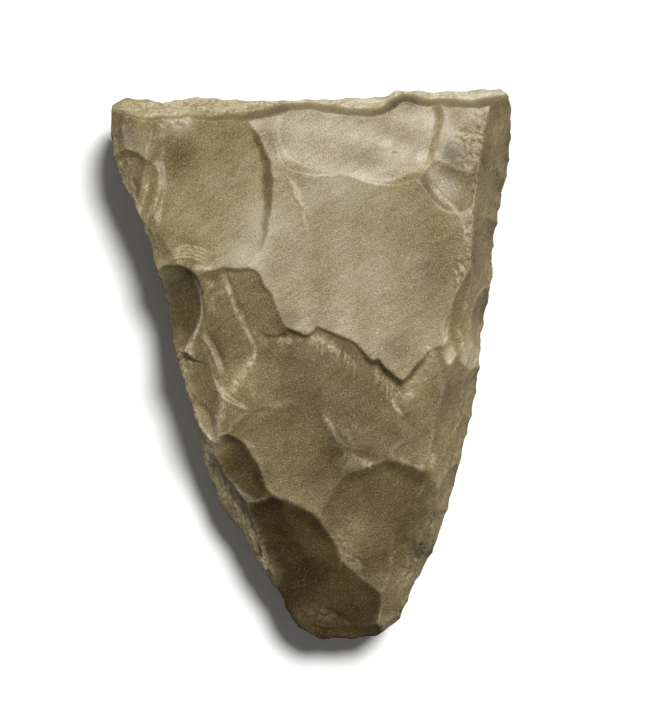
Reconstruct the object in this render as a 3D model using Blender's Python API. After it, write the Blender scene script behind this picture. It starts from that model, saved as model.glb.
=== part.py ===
"""A flaked stone celt: one solid of chert, worked by striking flakes off both faces.

It lies on its back. +X runs across it, +Y from the narrow end to the wide edge and +Z up, out of
the better face. The origin is under the middle of its outline, on the surface that it rests on.
What follows is the knapper's recipe: a blank, its outline, and the scars of the blows that took
it down. The surface lies where the first scar stops a ray leaving a flat core plate inside.
"""

from collections import namedtuple

import bmesh
import bpy
import numpy as np

# Driving dimensions, in millimetres. The recipe is laid out at these sizes.
THICKNESS = 28.0
CORE_HEIGHT = 11.0  # of the core plate's middle, above the resting surface
EDGE_TILT = -0.02  # the edge line falls toward the wide edge
BLUNT_EDGE = 1.6  # height of the worn band where the two faces meet

# How finely the blank is gridded before each carving, and how many triangles are kept.
ROUGH_GRID = 1.6
FINE_GRID = 0.8
TRIANGLES = 9400

METRE = 0.001

# The outline seen from above, clockwise from the top left corner.
OUTLINE = (
    (-41.0, 53.6), (-37.6, 55.3), (-30.0, 54.5), (-24.0, 55.4), (-10.0, 54.8), (8.0, 55.3),
    (15.0, 55.7), (19.0, 57.0), (28.0, 56.7), (39.0, 57.3), (42.2, 55.0), (42.6, 46.0), (42.2, 41.2),
    (40.8, 35.0), (39.1, 26.0), (38.6, 17.8), (36.3, 4.5), (35.3, -6.5), (32.6, -18.0),
    (29.6, -30.0), (26.7, -38.5), (25.2, -41.9), (22.4, -46.8), (20.3, -51.4), (18.0, -55.4),
    (12.2, -58.2), (2.9, -58.6), (-1.2, -56.8), (-4.0, -54.0), (-6.2, -49.2), (-10.4, -43.3),
    (-14.3, -36.0), (-18.3, -31.0), (-22.6, -20.0), (-23.5, -13.0), (-27.5, -0.5), (-30.2, 12.0),
    (-33.4, 24.5), (-35.9, 31.0), (-40.2, 40.0), (-41.5, 48.5),
)

# The convex core plate that every ray leaves from.
CORE = (
    (-34.0, 47.5), (34.5, 48.5), (30.5, 4.0), (25.0, -24.0), (17.0, -42.5), (7.5, -49.5),
    (-1.0, -46.5), (-15.5, -18.5),
)

# A scar is a shallow bowl. x, y and z place its middle, and heading is the way its length runs,
# in degrees from +X. slope_x and slope_y tilt it; bow and cup are how far it rises at the ends
# of its length and of its width. wall is how steeply it is bounded there, and 0 lets it feather
# out; the wall starts gently over the length of its fillet.
Scar = namedtuple(
    "Scar", "name x y z heading length width slope_x slope_y bow cup wall fillet"
)

FACE = (
    Scar("blank", 2, 8, 30.5, 90, 150, 110, 0, 0, -9, -9, 0, 1),
    # The broad faces.
    Scar("plateau", 16, 20, 25.3, 0, 58, 50, 0.05, 0.02, 2.2, 1.5, 0, 1),
    Scar("crown", 10, 52, 24.3, 0, 35, 32, -0.03, -0.08, -0.5, 0.8, 0.7, 2.0),
    Scar("crown_side", -6, 44, 25.6, 75, 16, 8, 0.10, -0.15, 0.6, 0.4, 0.9, 1),
    Scar("crown_corner", -8.5, 51.0, 24.6, 25, 9, 6, 0.04, -0.10, 0.2, 0.2, 0.8, 1.5),
    Scar("shoulder", -21.5, 30, 22.4, 90, 48, 27.4, 0.24, -0.10, 3.6, -0.6, 1.1, 1.2),
    Scar("scoop", -8, 14, 25.4, -62, 60, 50, 0.20, 0.12, 0.2, 0.2, 1.6, 1.5),
    Scar("belly", 0, -8.5, 22.4, -36, 60, 44, 0.06, 0.13, 0.6, 0.6, 1.5, 0.5),
    Scar("belly_right", 24, -11, 23.3, 70, 30, 20, -0.02, 0.16, 0.8, 0.8, 1.6, 0.5),
    Scar("hollow", -4, -20, 19.2, 0, 28, 28, 0.10, 0.16, 1.0, 1.5, 0.45, 1.8),
    Scar("keel", 13, -33, 18.3, 40, 28, 26, 0.00, 0.20, 0.4, 0.6, 0.5, 2.2),
    # The left edge, from the top.
    Scar("left_lens", -30, 10.5, 16.1, 88, 22, 16, 0.66, 0.02, 5.0, 0.2, 1.3, 0.6),
    Scar("left_mid", -16.5, 6, 22.9, 108, 30, 14, 0.17, 0.03, 2.0, 0.2, 3.0, 0.3),
    Scar("left_inner", -20.5, 0.5, 21.5, 112, 12, 6, 0.38, 0.05, 0.3, 0.3, 0.8, 1.0),
    Scar("left_low", -22.5, -8, 19.2, 102, 22, 12, 0.50, 0.08, 0.4, 0.9, 2.5, 0.4),
    Scar("left_foot", -23, -14, 18.4, 100, 10, 5, 0.02, 0, 0.4, 0.4, 1.2, 0.6),
    # The narrow end.
    Scar("bite", -14.5, -22.5, 17.3, 118, 18, 14, 0.27, 0.26, 0.3, 0.3, 1.2, 1.0),
    Scar("basin", -3, -42, 14.8, -50, 40, 24, 0.19, 0.18, 0.9, 0.9, 0.55, 2.0),
    Scar("side_low", -15, -35, 12.8, -57, 26, 5, 0.35, 0.10, 0.4, 0.4, 1.0, 0.6),
    Scar("tip", 7, -55, 14.2, -8, 14, 5, 0.12, 0.65, 0.4, 0.4, 1.0, 0.6),
    Scar("tip_left", -1, -56.3, 13.4, -20, 7, 3.6, 0.30, 0.60, 0.4, 0.4, 2.0, 0.6),
    Scar("right_low", 20, -46, 15.2, 65, 26, 13, -0.26, 0.12, 0.8, 0.8, 0.4, 1),
    Scar("keel_foot", 10.5, -46, 16.0, 60, 18, 9, 0.10, 0.27, 0.3, 0.3, 0.4, 3.0),
    # The right edge, from the bottom.
    Scar("right_knee", 30, -20, 16.8, 75, 22, 9, -0.90, 0.10, 0.8, 0.8, 0.6, 1),
    Scar("right_mid", 33, -6, 19.6, 84, 22, 7, -1.60, 0.10, 0.5, 0.5, 0.8, 1.0),
    Scar("right_cut", 33.5, 10.5, 22.4, 75, 13, 7, -0.75, 0.25, 0.4, 0.4, 1.5, 0.6),
    Scar("right_fan", 28.5, 5.0, 26.2, 60, 9, 4.4, -0.25, -0.05, 0.3, 0.3, 0.8, 1.0),
    Scar("right_pit", 29.4, 0.6, 25.2, 80, 4.4, 2.6, -0.15, -0.10, 0.2, 0.3, 0.8, 0.8),
    Scar("right_strip", 33.5, 2, 20.4, 80, 16, 5, -1.20, 0.00, 0.5, 0.5, 1.0, 0.8),
    Scar("right_up", 37, 25, 20.5, 88, 34, 8, -1.80, 0.05, 0.4, 0.4, 0.8, 1.0),
    Scar("right_wedge", 32.5, 28.5, 26.9, -62, 13, 6, -0.28, -0.06, 0.3, 0.5, 1.0, 1.2),
    Scar("right_bowl", 30.5, 38.3, 25.1, 60, 10, 9, 0.10, -0.02, 0.4, 0.4, 0.5, 2.4),
    Scar("right_top", 32, 48.5, 24.3, 80, 16, 13, 0.02, -0.06, 0.2, 0.2, 0.5, 2.5),
    Scar("right_side", 40.6, 46, 18.2, 88, 24, 6, -1.60, 0.00, 0.5, 0.3, 0.6, 1.0),
    # The top left corner.
    Scar("corner_side", -41.4, 49, 19.0, 90, 16, 7, 0.60, 0.05, 0.6, 0.6, 0.8, 1.5),
    Scar("corner_top", -34, 47, 21.3, 20, 11, 9, 0.14, -0.02, 0.4, 0.4, 0.6, 1.5),
    Scar("corner_tri", -37.6, 38, 18.2, 60, 10, 7, 0.42, 0.14, 0.4, 0.4, 0.9, 1.2),
    Scar("corner_wedge", -34.0, 34.5, 19.0, 66, 12, 3.4, 0.34, 0.05, 0.4, 0.4, 0.9, 1.2),
    Scar("corner_foot", -32.5, 25.0, 19.6, -68, 20, 6, 0.48, 0.10, 0.4, 0.2, 0.9, 1.2),
    # The wide edge: a steep drop to a narrow lip.
    Scar("lip", 0, 56, 17.0, 0, 100, 20, -0.01, -0.35, 0.0, 0.0, 3.0, 0.2),
    Scar("lip_left", -25, 55, 17.4, 0, 60, 20, -0.02, -0.55, 0.0, 0.0, 2.2, 0.3),
)

# Where a scar's rim isn't an oval, these points follow it round, clockwise. The wall starts this
# far inside them.
Rim = namedtuple("Rim", "setback path")
RIMS = {
    "shoulder": Rim(2.2, (
        (-30.5, 52.0), (-14.0, 52.6), (-9.8, 47.8), (-8.3, 43.5), (-7.6, 39.0), (-7.4, 32.0),
        (-7.7, 26.0), (-8.4, 20.5), (-11.0, 17.0), (-20.0, 14.0), (-32.0, 14.0), (-34.0, 24.0),
        (-32.0, 36.0),
    )),
    "crown": Rim(0.8, (
        (-4.0, 54.5), (-6.4, 50.0), (-6.2, 45.5), (-4.2, 41.8), (0.0, 39.4), (6.0, 37.9),
        (14.0, 36.6), (19.5, 38.0), (24.3, 41.2), (25.8, 46.0), (25.5, 54.0), (10.0, 59.0),
    )),
    "scoop": Rim(0.5, (
        (-18.6, 18.6), (-14.0, 18.6), (-10.8, 18.2), (-9.0, 15.6), (-7.0, 12.4), (-4.6, 7.2), (0.0, 2.0),
        (-4.0, -10.0), (-16.0, -8.0), (-24.0, 6.0),
    )),
    "belly": Rim(1.3, (
        (-18.0, 13.0), (-12.0, 9.5), (-8.5, 6.5), (-5.6, 6.3), (-4.6, 7.3), (-2.4, 6.7), (-0.4, 6.0),
        (1.4, 8.9), (2.6, 8.0), (4.6, 7.0), (7.4, 5.8), (9.9, 4.3), (12.0, 1.9), (13.3, 0.5),
        (14.4, 1.3), (15.4, -0.4), (17.0, -2.3), (18.9, -3.9), (21.0, -5.0), (25.0, -7.0),
        (28.0, -16.0), (24.0, -26.0), (8.0, -32.0), (-14.0, -28.0), (-24.0, -10.0),
    )),
    "belly_right": Rim(0.8, (
        (16.0, -8.0), (17.4, -5.4), (18.8, -4.2), (20.8, -2.8), (23.0, 0.2), (24.4, 2.6), (26.6, 3.4),
        (30.0, 2.6), (36.0, 0.0), (36.0, -20.0), (26.0, -27.0), (15.0, -20.0),
    )),
    "left_lens": Rim(0.4, (
        (-30.8, 18.4), (-28.0, 20.0), (-25.6, 19.8), (-24.3, 18.2), (-22.9, 15.5), (-22.1, 12.0),
        (-22.3, 9.5), (-23.2, 7.0), (-24.0, 4.5), (-25.0, 2.0), (-27.0, 0.8), (-31.0, 2.0), (-34.0, 10.0),
    )),
    "left_mid": Rim(0.35, (
        (-23.5, 18.4), (-21.0, 18.9), (-18.2, 19.0), (-17.0, 17.6), (-15.0, 13.0), (-12.6, 7.6),
        (-11.3, 5.0), (-11.0, 2.6), (-11.7, -0.6), (-14.0, -3.2), (-15.5, -5.8), (-17.2, -9.0),
        (-19.6, -2.0), (-22.0, 4.0), (-24.0, 8.0), (-25.0, 14.0),
    )),
    "left_low": Rim(0.5, (
        (-26.6, 0.6), (-24.0, 0.4), (-21.0, -0.3), (-19.0, -1.8), (-17.6, -4.0), (-17.2, -7.0),
        (-17.8, -10.0), (-18.8, -13.0), (-20.2, -16.5), (-21.2, -20.0), (-24.0, -22.0), (-28.0, -12.0),
    )),
    "hollow": Rim(1.4, (
        (-15.0, -16.0), (-11.5, -12.0), (-8.0, -9.8), (-4.0, -8.2), (0.0, -7.4), (2.4, -9.0),
        (3.8, -12.6), (6.2, -16.0), (9.0, -18.6), (6.0, -24.0), (8.0, -36.0), (0.0, -33.0),
        (-8.0, -28.0), (-12.0, -18.0),
    )),
    "keel": Rim(1.2, (
        (3.4, -28.0), (5.0, -25.2), (8.5, -23.8), (13.0, -22.9), (17.0, -22.8), (20.5, -23.8),
        (23.6, -25.8), (27.0, -31.0), (25.0, -40.0), (19.0, -48.0), (12.0, -47.0), (7.5, -41.0), (3.5, -34.0),
    )),
    "bite": Rim(0.9, (
        (-18.6, -17.8), (-16.5, -16.3), (-14.3, -16.1), (-12.5, -17.4), (-11.0, -19.8), (-8.8, -22.6),
        (-7.6, -25.5), (-7.0, -28.6), (-12.5, -28.8), (-17.0, -25.5), (-20.8, -21.8), (-20.2, -19.2),
    )),
    "basin": Rim(2.6, (
        (-12.6, -30.2), (-9.0, -28.6), (-6.0, -28.8), (-3.0, -29.9), (1.0, -32.5), (4.5, -35.4),
        (8.0, -38.8), (10.2, -42.6), (12.4, -46.4), (14.2, -50.0), (13.0, -55.0), (4.0, -59.0), (-4.0, -58.0),
        (-14.0, -50.0), (-19.0, -36.0),
    )),
    "right_bowl": Rim(0.8, (
        (24.6, 40.4), (25.4, 37.0), (28.0, 34.0), (30.4, 33.4), (34.6, 33.0), (35.4, 36.6), (34.8, 39.6),
        (32.0, 41.2), (30.4, 44.2), (27.4, 43.6),
    )),
    "corner_tri": Rim(0.4, (
        (-42.0, 40.5), (-39.5, 41.8), (-36.4, 42.0), (-34.4, 40.4), (-33.6, 37.2), (-34.8, 32.6),
        (-36.8, 29.5), (-40.0, 34.0),
    )),
    "corner_wedge": Rim(0.3, (
        (-33.2, 40.6), (-31.4, 40.0), (-31.2, 36.6), (-32.4, 32.2), (-34.2, 28.8), (-36.0, 28.0),
        (-35.8, 30.6), (-34.4, 34.4), (-33.6, 37.6),
    )),
    "lip_left": Rim(0.0, (
        (-46.0, 54.0), (-41.0, 52.6), (-37.0, 51.6), (-32.0, 51.0), (-28.0, 51.4), (-24.0, 51.9),
        (-20.0, 51.6), (-16.0, 51.8), (-12.0, 52.4), (-8.0, 53.6), (-4.0, 55.4), (-6.0, 62.0), (-50.0, 62.0),
    )),
    "lip": Rim(0.0, (
        (-30.0, 56.4), (-20.0, 55.2), (-13.0, 54.2), (-9.0, 53.9), (-4.0, 54.3), (0.0, 54.4), (5.0, 53.7),
        (10.0, 53.0), (13.5, 53.2), (16.5, 54.4), (19.5, 56.2), (21.5, 55.9), (25.0, 55.2), (28.0, 54.9),
        (30.0, 55.0), (33.0, 54.8), (36.0, 55.0), (39.0, 55.6), (43.0, 57.0), (50.0, 66.0), (0.0, 70.0),
        (-30.0, 62.0),
    )),
}

# The back is worked more simply: long flakes struck in from all round, then short ones that trim
# the edge. pitch is how steeply a flake climbs inward.
LongFlakes = namedtuple("LongFlakes", "seed spacing length width pitch bow cup wall")
BACK_FLAKES = (
    LongFlakes(seed=7, spacing=15.0, length=34.0, width=21.0, pitch=0.40, bow=0.8, cup=1.5, wall=0.5),
    LongFlakes(seed=21, spacing=8.0, length=13.0, width=9.5, pitch=0.55, bow=0.4, cup=0.6, wall=0.9),
)
FACE_TRIM = LongFlakes(seed=5, spacing=5.0, length=1.8, width=4.0, pitch=1.5, bow=0.1, cup=0.1, wall=2.5)
TRIM_BELOW = 50.0  # the top edge's bevel is trimmed by its own scars
TRIM_SHARE = 0.5  # of the stretches of the face's edge were trimmed

# Where the face stands high at the edge, the back's flakes are struck from this far up at most,
# and are this much steeper: by the lift over this reach.
EDGE_LIFT = 6.5
LIFTED_REACH = 5.5
THICK_CORNER = (-42.0, 54.0)  # nothing is lifted here, and everything this far away
THICK_REACH = 16.0

# Small scallops that the last blows left in the outline.
SCALLOP_LENGTH = 5.0
SCALLOP_DEPTH = 0.35

# Scar edges wander by this much, and their floors roll by this much, over these lengths.
WANDER, WANDER_LENGTH = 0.22, 6.0
ROLL, ROLL_LENGTH = 0.16, 12.0
SWELLS = 4  # how many such patterns the scars share out

LEVELLED = 0.05  # what is this near the resting surface is ground level with it

MARCH_STEPS = 24
HALVINGS = 10

# The relief is worked out once on a grid of this spacing and read back between its points.
RELIEF_STEP = 0.4
RELIEF_SPAN = (46.0, 61.0)


def clear_scene():
    for item in list(bpy.data.objects):
        bpy.data.objects.remove(item)


def grid_points():
    across, up = RELIEF_SPAN
    xs = np.arange(-across, across + RELIEF_STEP / 2, RELIEF_STEP)
    ys = np.arange(-up, up + RELIEF_STEP / 2, RELIEF_STEP)
    return np.meshgrid(xs, ys)


def level_at(grid, x, y):
    """The grid's value at each point, from the four nearest."""
    across, up = RELIEF_SPAN
    column = np.clip((x + across) / RELIEF_STEP, 0, grid.shape[1] - 1.001)
    row = np.clip((y + up) / RELIEF_STEP, 0, grid.shape[0] - 1.001)
    i, j = column.astype(int), row.astype(int)
    s, t = column - i, row - j
    lower = grid[j, i] * (1 - s) + grid[j, i + 1] * s
    upper = grid[j + 1, i] * (1 - s) + grid[j + 1, i + 1] * s
    return lower * (1 - t) + upper * t


def smooth_loop(points, steps):
    """A closed curve through the points, with this many stretches between each two."""
    here = np.array(points)
    before, after, beyond = (np.roll(here, -k, axis=0) for k in (-1, 1, 2))
    t = np.linspace(0.0, 1.0, steps, endpoint=False)[:, None, None]
    curve = here + 0.5 * t * (
        after - before
        + t * (2 * before - 5 * here + 4 * after - beyond + t * (3 * here - before - 3 * after + beyond))
    )
    return curve.transpose(1, 0, 2).reshape(-1, 2)


def inward(loop):
    """The unit normal at each point of a clockwise loop, pointing into it."""
    along = np.roll(loop, -1, axis=0) - np.roll(loop, 1, axis=0)
    normal = np.stack([along[:, 1], -along[:, 0]], axis=1)
    return normal / np.linalg.norm(normal, axis=1, keepdims=True)


def stretches(loop, spacing, seed):
    """Cuts the loop into stretches of about this length: pairs of start and end indices."""
    rng = np.random.default_rng(seed)
    run = np.linalg.norm(np.roll(loop, -1, axis=0) - loop, axis=1).cumsum()
    cuts = [0.0]
    while cuts[-1] < run[-1] - 0.6 * spacing:
        cuts.append(cuts[-1] + spacing * rng.uniform(0.65, 1.35))
    marks = np.searchsorted(run, np.array(cuts) * run[-1] / cuts[-1])
    return list(zip(marks[:-1], marks[1:]))


def scalloped(loop):
    """The loop with a shallow hollow in each stretch, as the last blows left it."""
    normal = inward(loop)
    depth = np.zeros(len(loop))
    for start, end in stretches(loop, SCALLOP_LENGTH, 3):
        share = np.arange(end - start) / max(end - start, 1)
        depth[start:end] = SCALLOP_DEPTH * 4.0 * share * (1.0 - share)
    return loop + normal * depth[:, None]


def edge_level(y):
    """The height of the middle of the edge."""
    return CORE_HEIGHT + EDGE_TILT * y


def struck_in(loop, kind, height_of):
    """Scars of flakes struck inward from the edge, all round.

    height_of gives each point of the edge a height to strike at, and a lift: how far above the
    plain edge that is, which steepens the flake.
    """
    rng = np.random.default_rng(kind.seed)
    normal = inward(loop)
    scars = []
    for start, end in stretches(loop, kind.spacing, kind.seed):
        middle = (start + end) // 2 % len(loop)
        size = rng.uniform(0.75, 1.25)
        turn = np.radians(rng.uniform(-16.0, 16.0))
        nx, ny = normal[middle]
        way = np.array([nx * np.cos(turn) - ny * np.sin(turn), nx * np.sin(turn) + ny * np.cos(turn)])
        reach = 0.42 * kind.length * size
        x, y = loop[middle] + way * reach
        height, lift = height_of(*loop[middle])
        pitch = kind.pitch * rng.uniform(0.85, 1.15) + lift / LIFTED_REACH
        z = height + pitch * reach - rng.uniform(0.0, 0.5)
        heading = np.degrees(np.arctan2(way[1], way[0]))
        scars.append(
            Scar("struck", x, y, z, heading, kind.length * size, kind.width * size,
                 pitch * way[0], pitch * way[1], kind.bow, kind.cup, kind.wall, 0.8)
        )
    return scars


def waves(x, y, seed, length):
    """A smooth random swell, about 1 high and this long."""
    rng = np.random.default_rng(seed)
    total = np.zeros_like(x)
    for _ in range(10):
        angle, phase = rng.uniform(0.0, 2.0 * np.pi, 2)
        rate = 2.0 * np.pi / (length * rng.uniform(0.5, 1.8))
        total += np.sin(rate * (x * np.cos(angle) + y * np.sin(angle)) + phase)
    return total / 3.6


def outside(path, x, y):
    """How far each point lies outside a closed path, or inside it where this is less than 0."""
    nearest = np.full(x.shape, np.inf)
    inside = np.zeros(x.shape, bool)
    for (ax, ay), (bx, by) in zip(path, np.roll(path, -1, axis=0)):
        side_x, side_y = bx - ax, by - ay
        share = np.clip(((x - ax) * side_x + (y - ay) * side_y) / (side_x**2 + side_y**2), 0.0, 1.0)
        nearest = np.minimum(nearest, (x - ax - share * side_x) ** 2 + (y - ay - share * side_y) ** 2)
        if ay != by:
            inside ^= ((ay > y) != (by > y)) & (x < ax + (y - ay) * side_x / side_y)
    return np.where(inside, -1.0, 1.0) * np.sqrt(nearest)


def beyond_rim(scar, x, y):
    """Where each point lies along and across the scar, and how far outside its rim it is."""
    across, up = x - scar.x, y - scar.y
    turn = np.radians(scar.heading)
    half_length, half_width = scar.length / 2.0, scar.width / 2.0
    u = (across * np.cos(turn) + up * np.sin(turn)) / half_length
    v = (up * np.cos(turn) - across * np.sin(turn)) / half_width
    if scar.name in RIMS:
        rim = RIMS[scar.name]
        return u, v, outside(smooth_loop(rim.path, 4), x, y) + rim.setback
    return u, v, (np.hypot(u, v) - 1.0) * min(half_length, half_width)


def scar_height(scar, x, y, roll, wander):
    u, v, out = beyond_rim(scar, x, y)
    floor = scar.z + scar.slope_x * (x - scar.x) + scar.slope_y * (y - scar.y)
    out = np.maximum(out + wander, 0.0)
    bowl = scar.bow * u**2 + scar.cup * v**2
    return floor + bowl + roll + scar.wall * out**2 / (out + scar.fillet)


def lowest(scars):
    """The height left over the grid where every scar has been struck."""
    x, y = grid_points()
    rolls = [ROLL * waves(x, y, seed, ROLL_LENGTH) for seed in range(SWELLS)]
    wanders = [WANDER * waves(x, y, seed, WANDER_LENGTH) for seed in range(SWELLS, 2 * SWELLS)]
    height = np.full(x.shape, np.inf)
    for number, scar in enumerate(scars):
        roll, wander = rolls[number % SWELLS], wanders[number % SWELLS]
        height = np.minimum(height, scar_height(scar, x, y, roll, wander))
    return height


class Stone:
    """The carved form: what its two faces and its outline leave."""

    def __init__(self):
        loop = smooth_loop(OUTLINE, 12)
        self.outline = scalloped(loop)
        trim = struck_in(loop, FACE_TRIM, lambda x, y: (edge_level(y) + BLUNT_EDGE / 2, 0.0))
        chance = np.random.default_rng(FACE_TRIM.seed).random(len(trim))
        kept = [
            scar for scar, odds in zip(trim, chance)
            if scar.x > 0.0 and scar.y < TRIM_BELOW and odds < TRIM_SHARE
        ]
        self.face = lowest(list(FACE) + kept)
        back = [Scar("rest", 0, 0, CORE_HEIGHT + 1, 0, 100, 100, 0, 0, 0, 0, 0, 1)]
        for kind in BACK_FLAKES:
            back += struck_in(loop, kind, self.under_edge)
        self.back = lowest(back)

    def under_edge(self, x, y):
        """Where the back's flakes are struck: how far below the core plate, and how far lifted."""
        spare = level_at(self.face, x, y) - edge_level(y) - BLUNT_EDGE
        away = np.hypot(x - THICK_CORNER[0], y - THICK_CORNER[1])
        lift = np.clip(spare, 0.0, EDGE_LIFT) * min(away / THICK_REACH, 1.0) ** 2
        return CORE_HEIGHT - edge_level(y) + BLUNT_EDGE / 2 - lift, lift

    def top(self, x, y):
        return np.minimum(level_at(self.face, x, y), THICKNESS)

    def bottom(self, x, y):
        return np.maximum(CORE_HEIGHT - level_at(self.back, x, y), 0.0)

    def rays(self, points):
        """Where each point's ray leaves the core plate, and its direction."""
        corners = np.array(CORE)
        flat = points[:, :2]
        nearest = flat.copy()
        inside = np.ones(len(flat), bool)
        best = np.full(len(flat), np.inf)
        for a, b in zip(corners, np.roll(corners, -1, axis=0)):
            side = b - a
            inside &= side[0] * (flat[:, 1] - a[1]) - side[1] * (flat[:, 0] - a[0]) <= 0.0
        for a, b in zip(corners, np.roll(corners, -1, axis=0)):
            side = b - a
            share = np.clip((flat - a) @ side / (side @ side), 0.0, 1.0)
            on_side = a + share[:, None] * side
            distance = np.linalg.norm(flat - on_side, axis=1)
            closer = ~inside & (distance < best)
            nearest[closer] = on_side[closer]
            best[closer] = distance[closer]
        start = np.column_stack([nearest, edge_level(nearest[:, 1])])
        way = points - start
        return start, way / np.linalg.norm(way, axis=1, keepdims=True), inside

    def reach(self, start, way):
        """How far each ray runs before it crosses the outline."""
        far = np.full(len(start), 80.0)
        for a, b in zip(self.outline, np.roll(self.outline, -1, axis=0)):
            side = b - a
            cross = way[:, 0] * side[1] - way[:, 1] * side[0]
            cross = np.where(np.abs(cross) < 1e-9, 1e-9, cross)
            gap = a - start[:, :2]
            run = (gap[:, 0] * side[1] - gap[:, 1] * side[0]) / cross
            share = (gap[:, 0] * way[:, 1] - gap[:, 1] * way[:, 0]) / cross
            hit = (run > 0.0) & (share >= 0.0) & (share <= 1.0) & (run < far)
            far[hit] = run[hit]
        return far

    def holds(self, points):
        x, y, z = points.T
        return (z <= self.top(x, y)) & (z >= self.bottom(x, y))

    def carve(self, points):
        """Moves each point along its ray to where the finished surface stops it."""
        start, way, over_core = self.rays(points)
        carved = points.copy()
        up, down = over_core & (way[:, 2] > 0.0), over_core & (way[:, 2] <= 0.0)
        carved[up, 2] = self.top(points[up, 0], points[up, 1])
        carved[down, 2] = self.bottom(points[down, 0], points[down, 1])
        rim = ~over_core
        start, way = start[rim], way[rim]
        far = self.reach(start, way)
        near, stopped = np.zeros(len(far)), np.zeros(len(far), bool)
        beyond = far.copy()
        for step in range(1, MARCH_STEPS + 1):
            run = far * step / MARCH_STEPS
            kept = self.holds(start + way * run[:, None])
            first = ~kept & ~stopped
            beyond[first] = run[first]
            stopped |= first
            near = np.where(stopped, near, run)
        for _ in range(HALVINGS):
            run = (near + beyond) / 2.0
            kept = self.holds(start + way * run[:, None])
            near = np.where(kept, run, near)
            beyond = np.where(kept, beyond, run)
        carved[rim] = start + way * near[:, None]
        return carved


def points_of(mesh):
    flat = np.empty(len(mesh.vertices) * 3, np.float32)
    mesh.vertices.foreach_get("co", flat)
    return flat.reshape(-1, 3).astype(float) / METRE


def move_points(mesh, points):
    mesh.vertices.foreach_set("co", (points * METRE).astype(np.float32).ravel())
    mesh.update()


def blank_mesh(loop):
    """A slab with the stone's outline and full thickness."""
    shape = bmesh.new()
    ring = [shape.verts.new((x * METRE, y * METRE, 0.0)) for x, y in loop[::-1]]
    shape.faces.new(ring)
    top = bmesh.ops.extrude_face_region(shape, geom=list(shape.faces))["geom"]
    raised = [item for item in top if isinstance(item, bmesh.types.BMVert)]
    bmesh.ops.translate(shape, verts=raised, vec=(0.0, 0.0, THICKNESS * METRE))
    bmesh.ops.recalc_face_normals(shape, faces=shape.faces)
    mesh = bpy.data.meshes.new("celt")
    shape.to_mesh(mesh)
    shape.free()
    return mesh


def settle(item):
    """Puts the object's modifiers into its mesh."""
    graph = bpy.context.evaluated_depsgraph_get()
    mesh = bpy.data.meshes.new_from_object(item.evaluated_get(graph))
    item.modifiers.clear()
    item.data = mesh


def regrid(item, size):
    grid = item.modifiers.new("grid", "REMESH")
    grid.mode = "VOXEL"
    grid.voxel_size = size * METRE
    settle(item)


def thin_out(item, triangles):
    """Keeps this many triangles, mostly where the surface bends."""
    present = sum(len(face.vertices) - 2 for face in item.data.polygons)
    fewer = item.modifiers.new("fewer", "DECIMATE")
    fewer.ratio = triangles / present
    fewer.use_collapse_triangulate = True
    settle(item)


def stand_on_origin(mesh):
    """Levels the flat that it rests on, and puts the origin there, under the middle of the outline."""
    points = points_of(mesh)
    points[:, 2] -= points[:, 2].min()
    points[points[:, 2] < LEVELLED, 2] = 0.0
    middle = (points.min(axis=0) + points.max(axis=0)) / 2.0
    points[:, :2] -= middle[:2]
    move_points(mesh, points)


def chert():
    """Grey-brown chert with a dull waxy fracture."""
    material = bpy.data.materials.new("chert")
    material.use_nodes = True
    shader = material.node_tree.nodes["Principled BSDF"]
    shader.inputs["Base Color"].default_value = (0.27, 0.23, 0.14, 1.0)
    shader.inputs["Roughness"].default_value = 0.55
    shader.inputs["Metallic"].default_value = 0.0
    return material


def main():
    clear_scene()
    stone = Stone()
    celt = bpy.data.objects.new("celt", blank_mesh(stone.outline))
    bpy.context.scene.collection.objects.link(celt)
    for size in (ROUGH_GRID, FINE_GRID):
        regrid(celt, size)
        move_points(celt.data, stone.carve(points_of(celt.data)))
    thin_out(celt, TRIANGLES)
    stand_on_origin(celt.data)
    celt.data.materials.clear()
    celt.data.materials.append(chert())
    celt.data.shade_flat()


main()
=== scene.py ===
"""A flaked stone celt, lying on its back on a pale studio table.

The stone is made as a knapper makes it: a slab is given the outline, and every scar of the recipe
takes down what stands above it. Low ridges, fans of short splits and crushed stretches are worked
into the same surface, and the chert's grain, crust and waxy sheen are in its material. Lengths in
the recipe are millimetres. +X runs across the stone, +Y to its wide edge and +Z out of its better
face.
"""

from collections import namedtuple

import bmesh
import bpy
import numpy as np
from bpy.props import FloatProperty, FloatVectorProperty, IntProperty, PointerProperty
from bpy.types import Operator, Panel, PropertyGroup
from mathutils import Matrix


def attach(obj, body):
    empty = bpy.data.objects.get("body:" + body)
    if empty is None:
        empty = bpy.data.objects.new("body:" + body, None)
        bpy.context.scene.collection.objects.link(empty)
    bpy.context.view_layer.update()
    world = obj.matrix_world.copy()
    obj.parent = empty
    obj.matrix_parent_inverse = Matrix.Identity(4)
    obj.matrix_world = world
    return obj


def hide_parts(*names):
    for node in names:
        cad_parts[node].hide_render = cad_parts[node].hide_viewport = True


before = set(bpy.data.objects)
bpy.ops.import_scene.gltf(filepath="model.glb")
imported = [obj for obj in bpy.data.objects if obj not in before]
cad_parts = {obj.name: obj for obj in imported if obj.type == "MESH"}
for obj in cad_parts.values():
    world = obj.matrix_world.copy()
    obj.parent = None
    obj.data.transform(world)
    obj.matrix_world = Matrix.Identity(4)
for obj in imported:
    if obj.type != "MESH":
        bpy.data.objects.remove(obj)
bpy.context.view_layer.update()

bl_info = {
    "name": "Stone celt",
    "version": (1, 0, 0),
    "blender": (4, 5, 0),
    "location": "3D View > Sidebar > Celt",
    "description": "Knaps a chert celt scar by scar and lays it on a studio table",
    "category": "Add Mesh",
}

METRE = 0.001  # millimetres to metres

THICKNESS = 28.0
CORE_HEIGHT = 11.0  # of the core plate's middle, above the table
EDGE_TILT = -0.02  # the edge line falls toward the wide edge
BLUNT_EDGE = 1.6  # height of the worn band where the two faces meet

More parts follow.
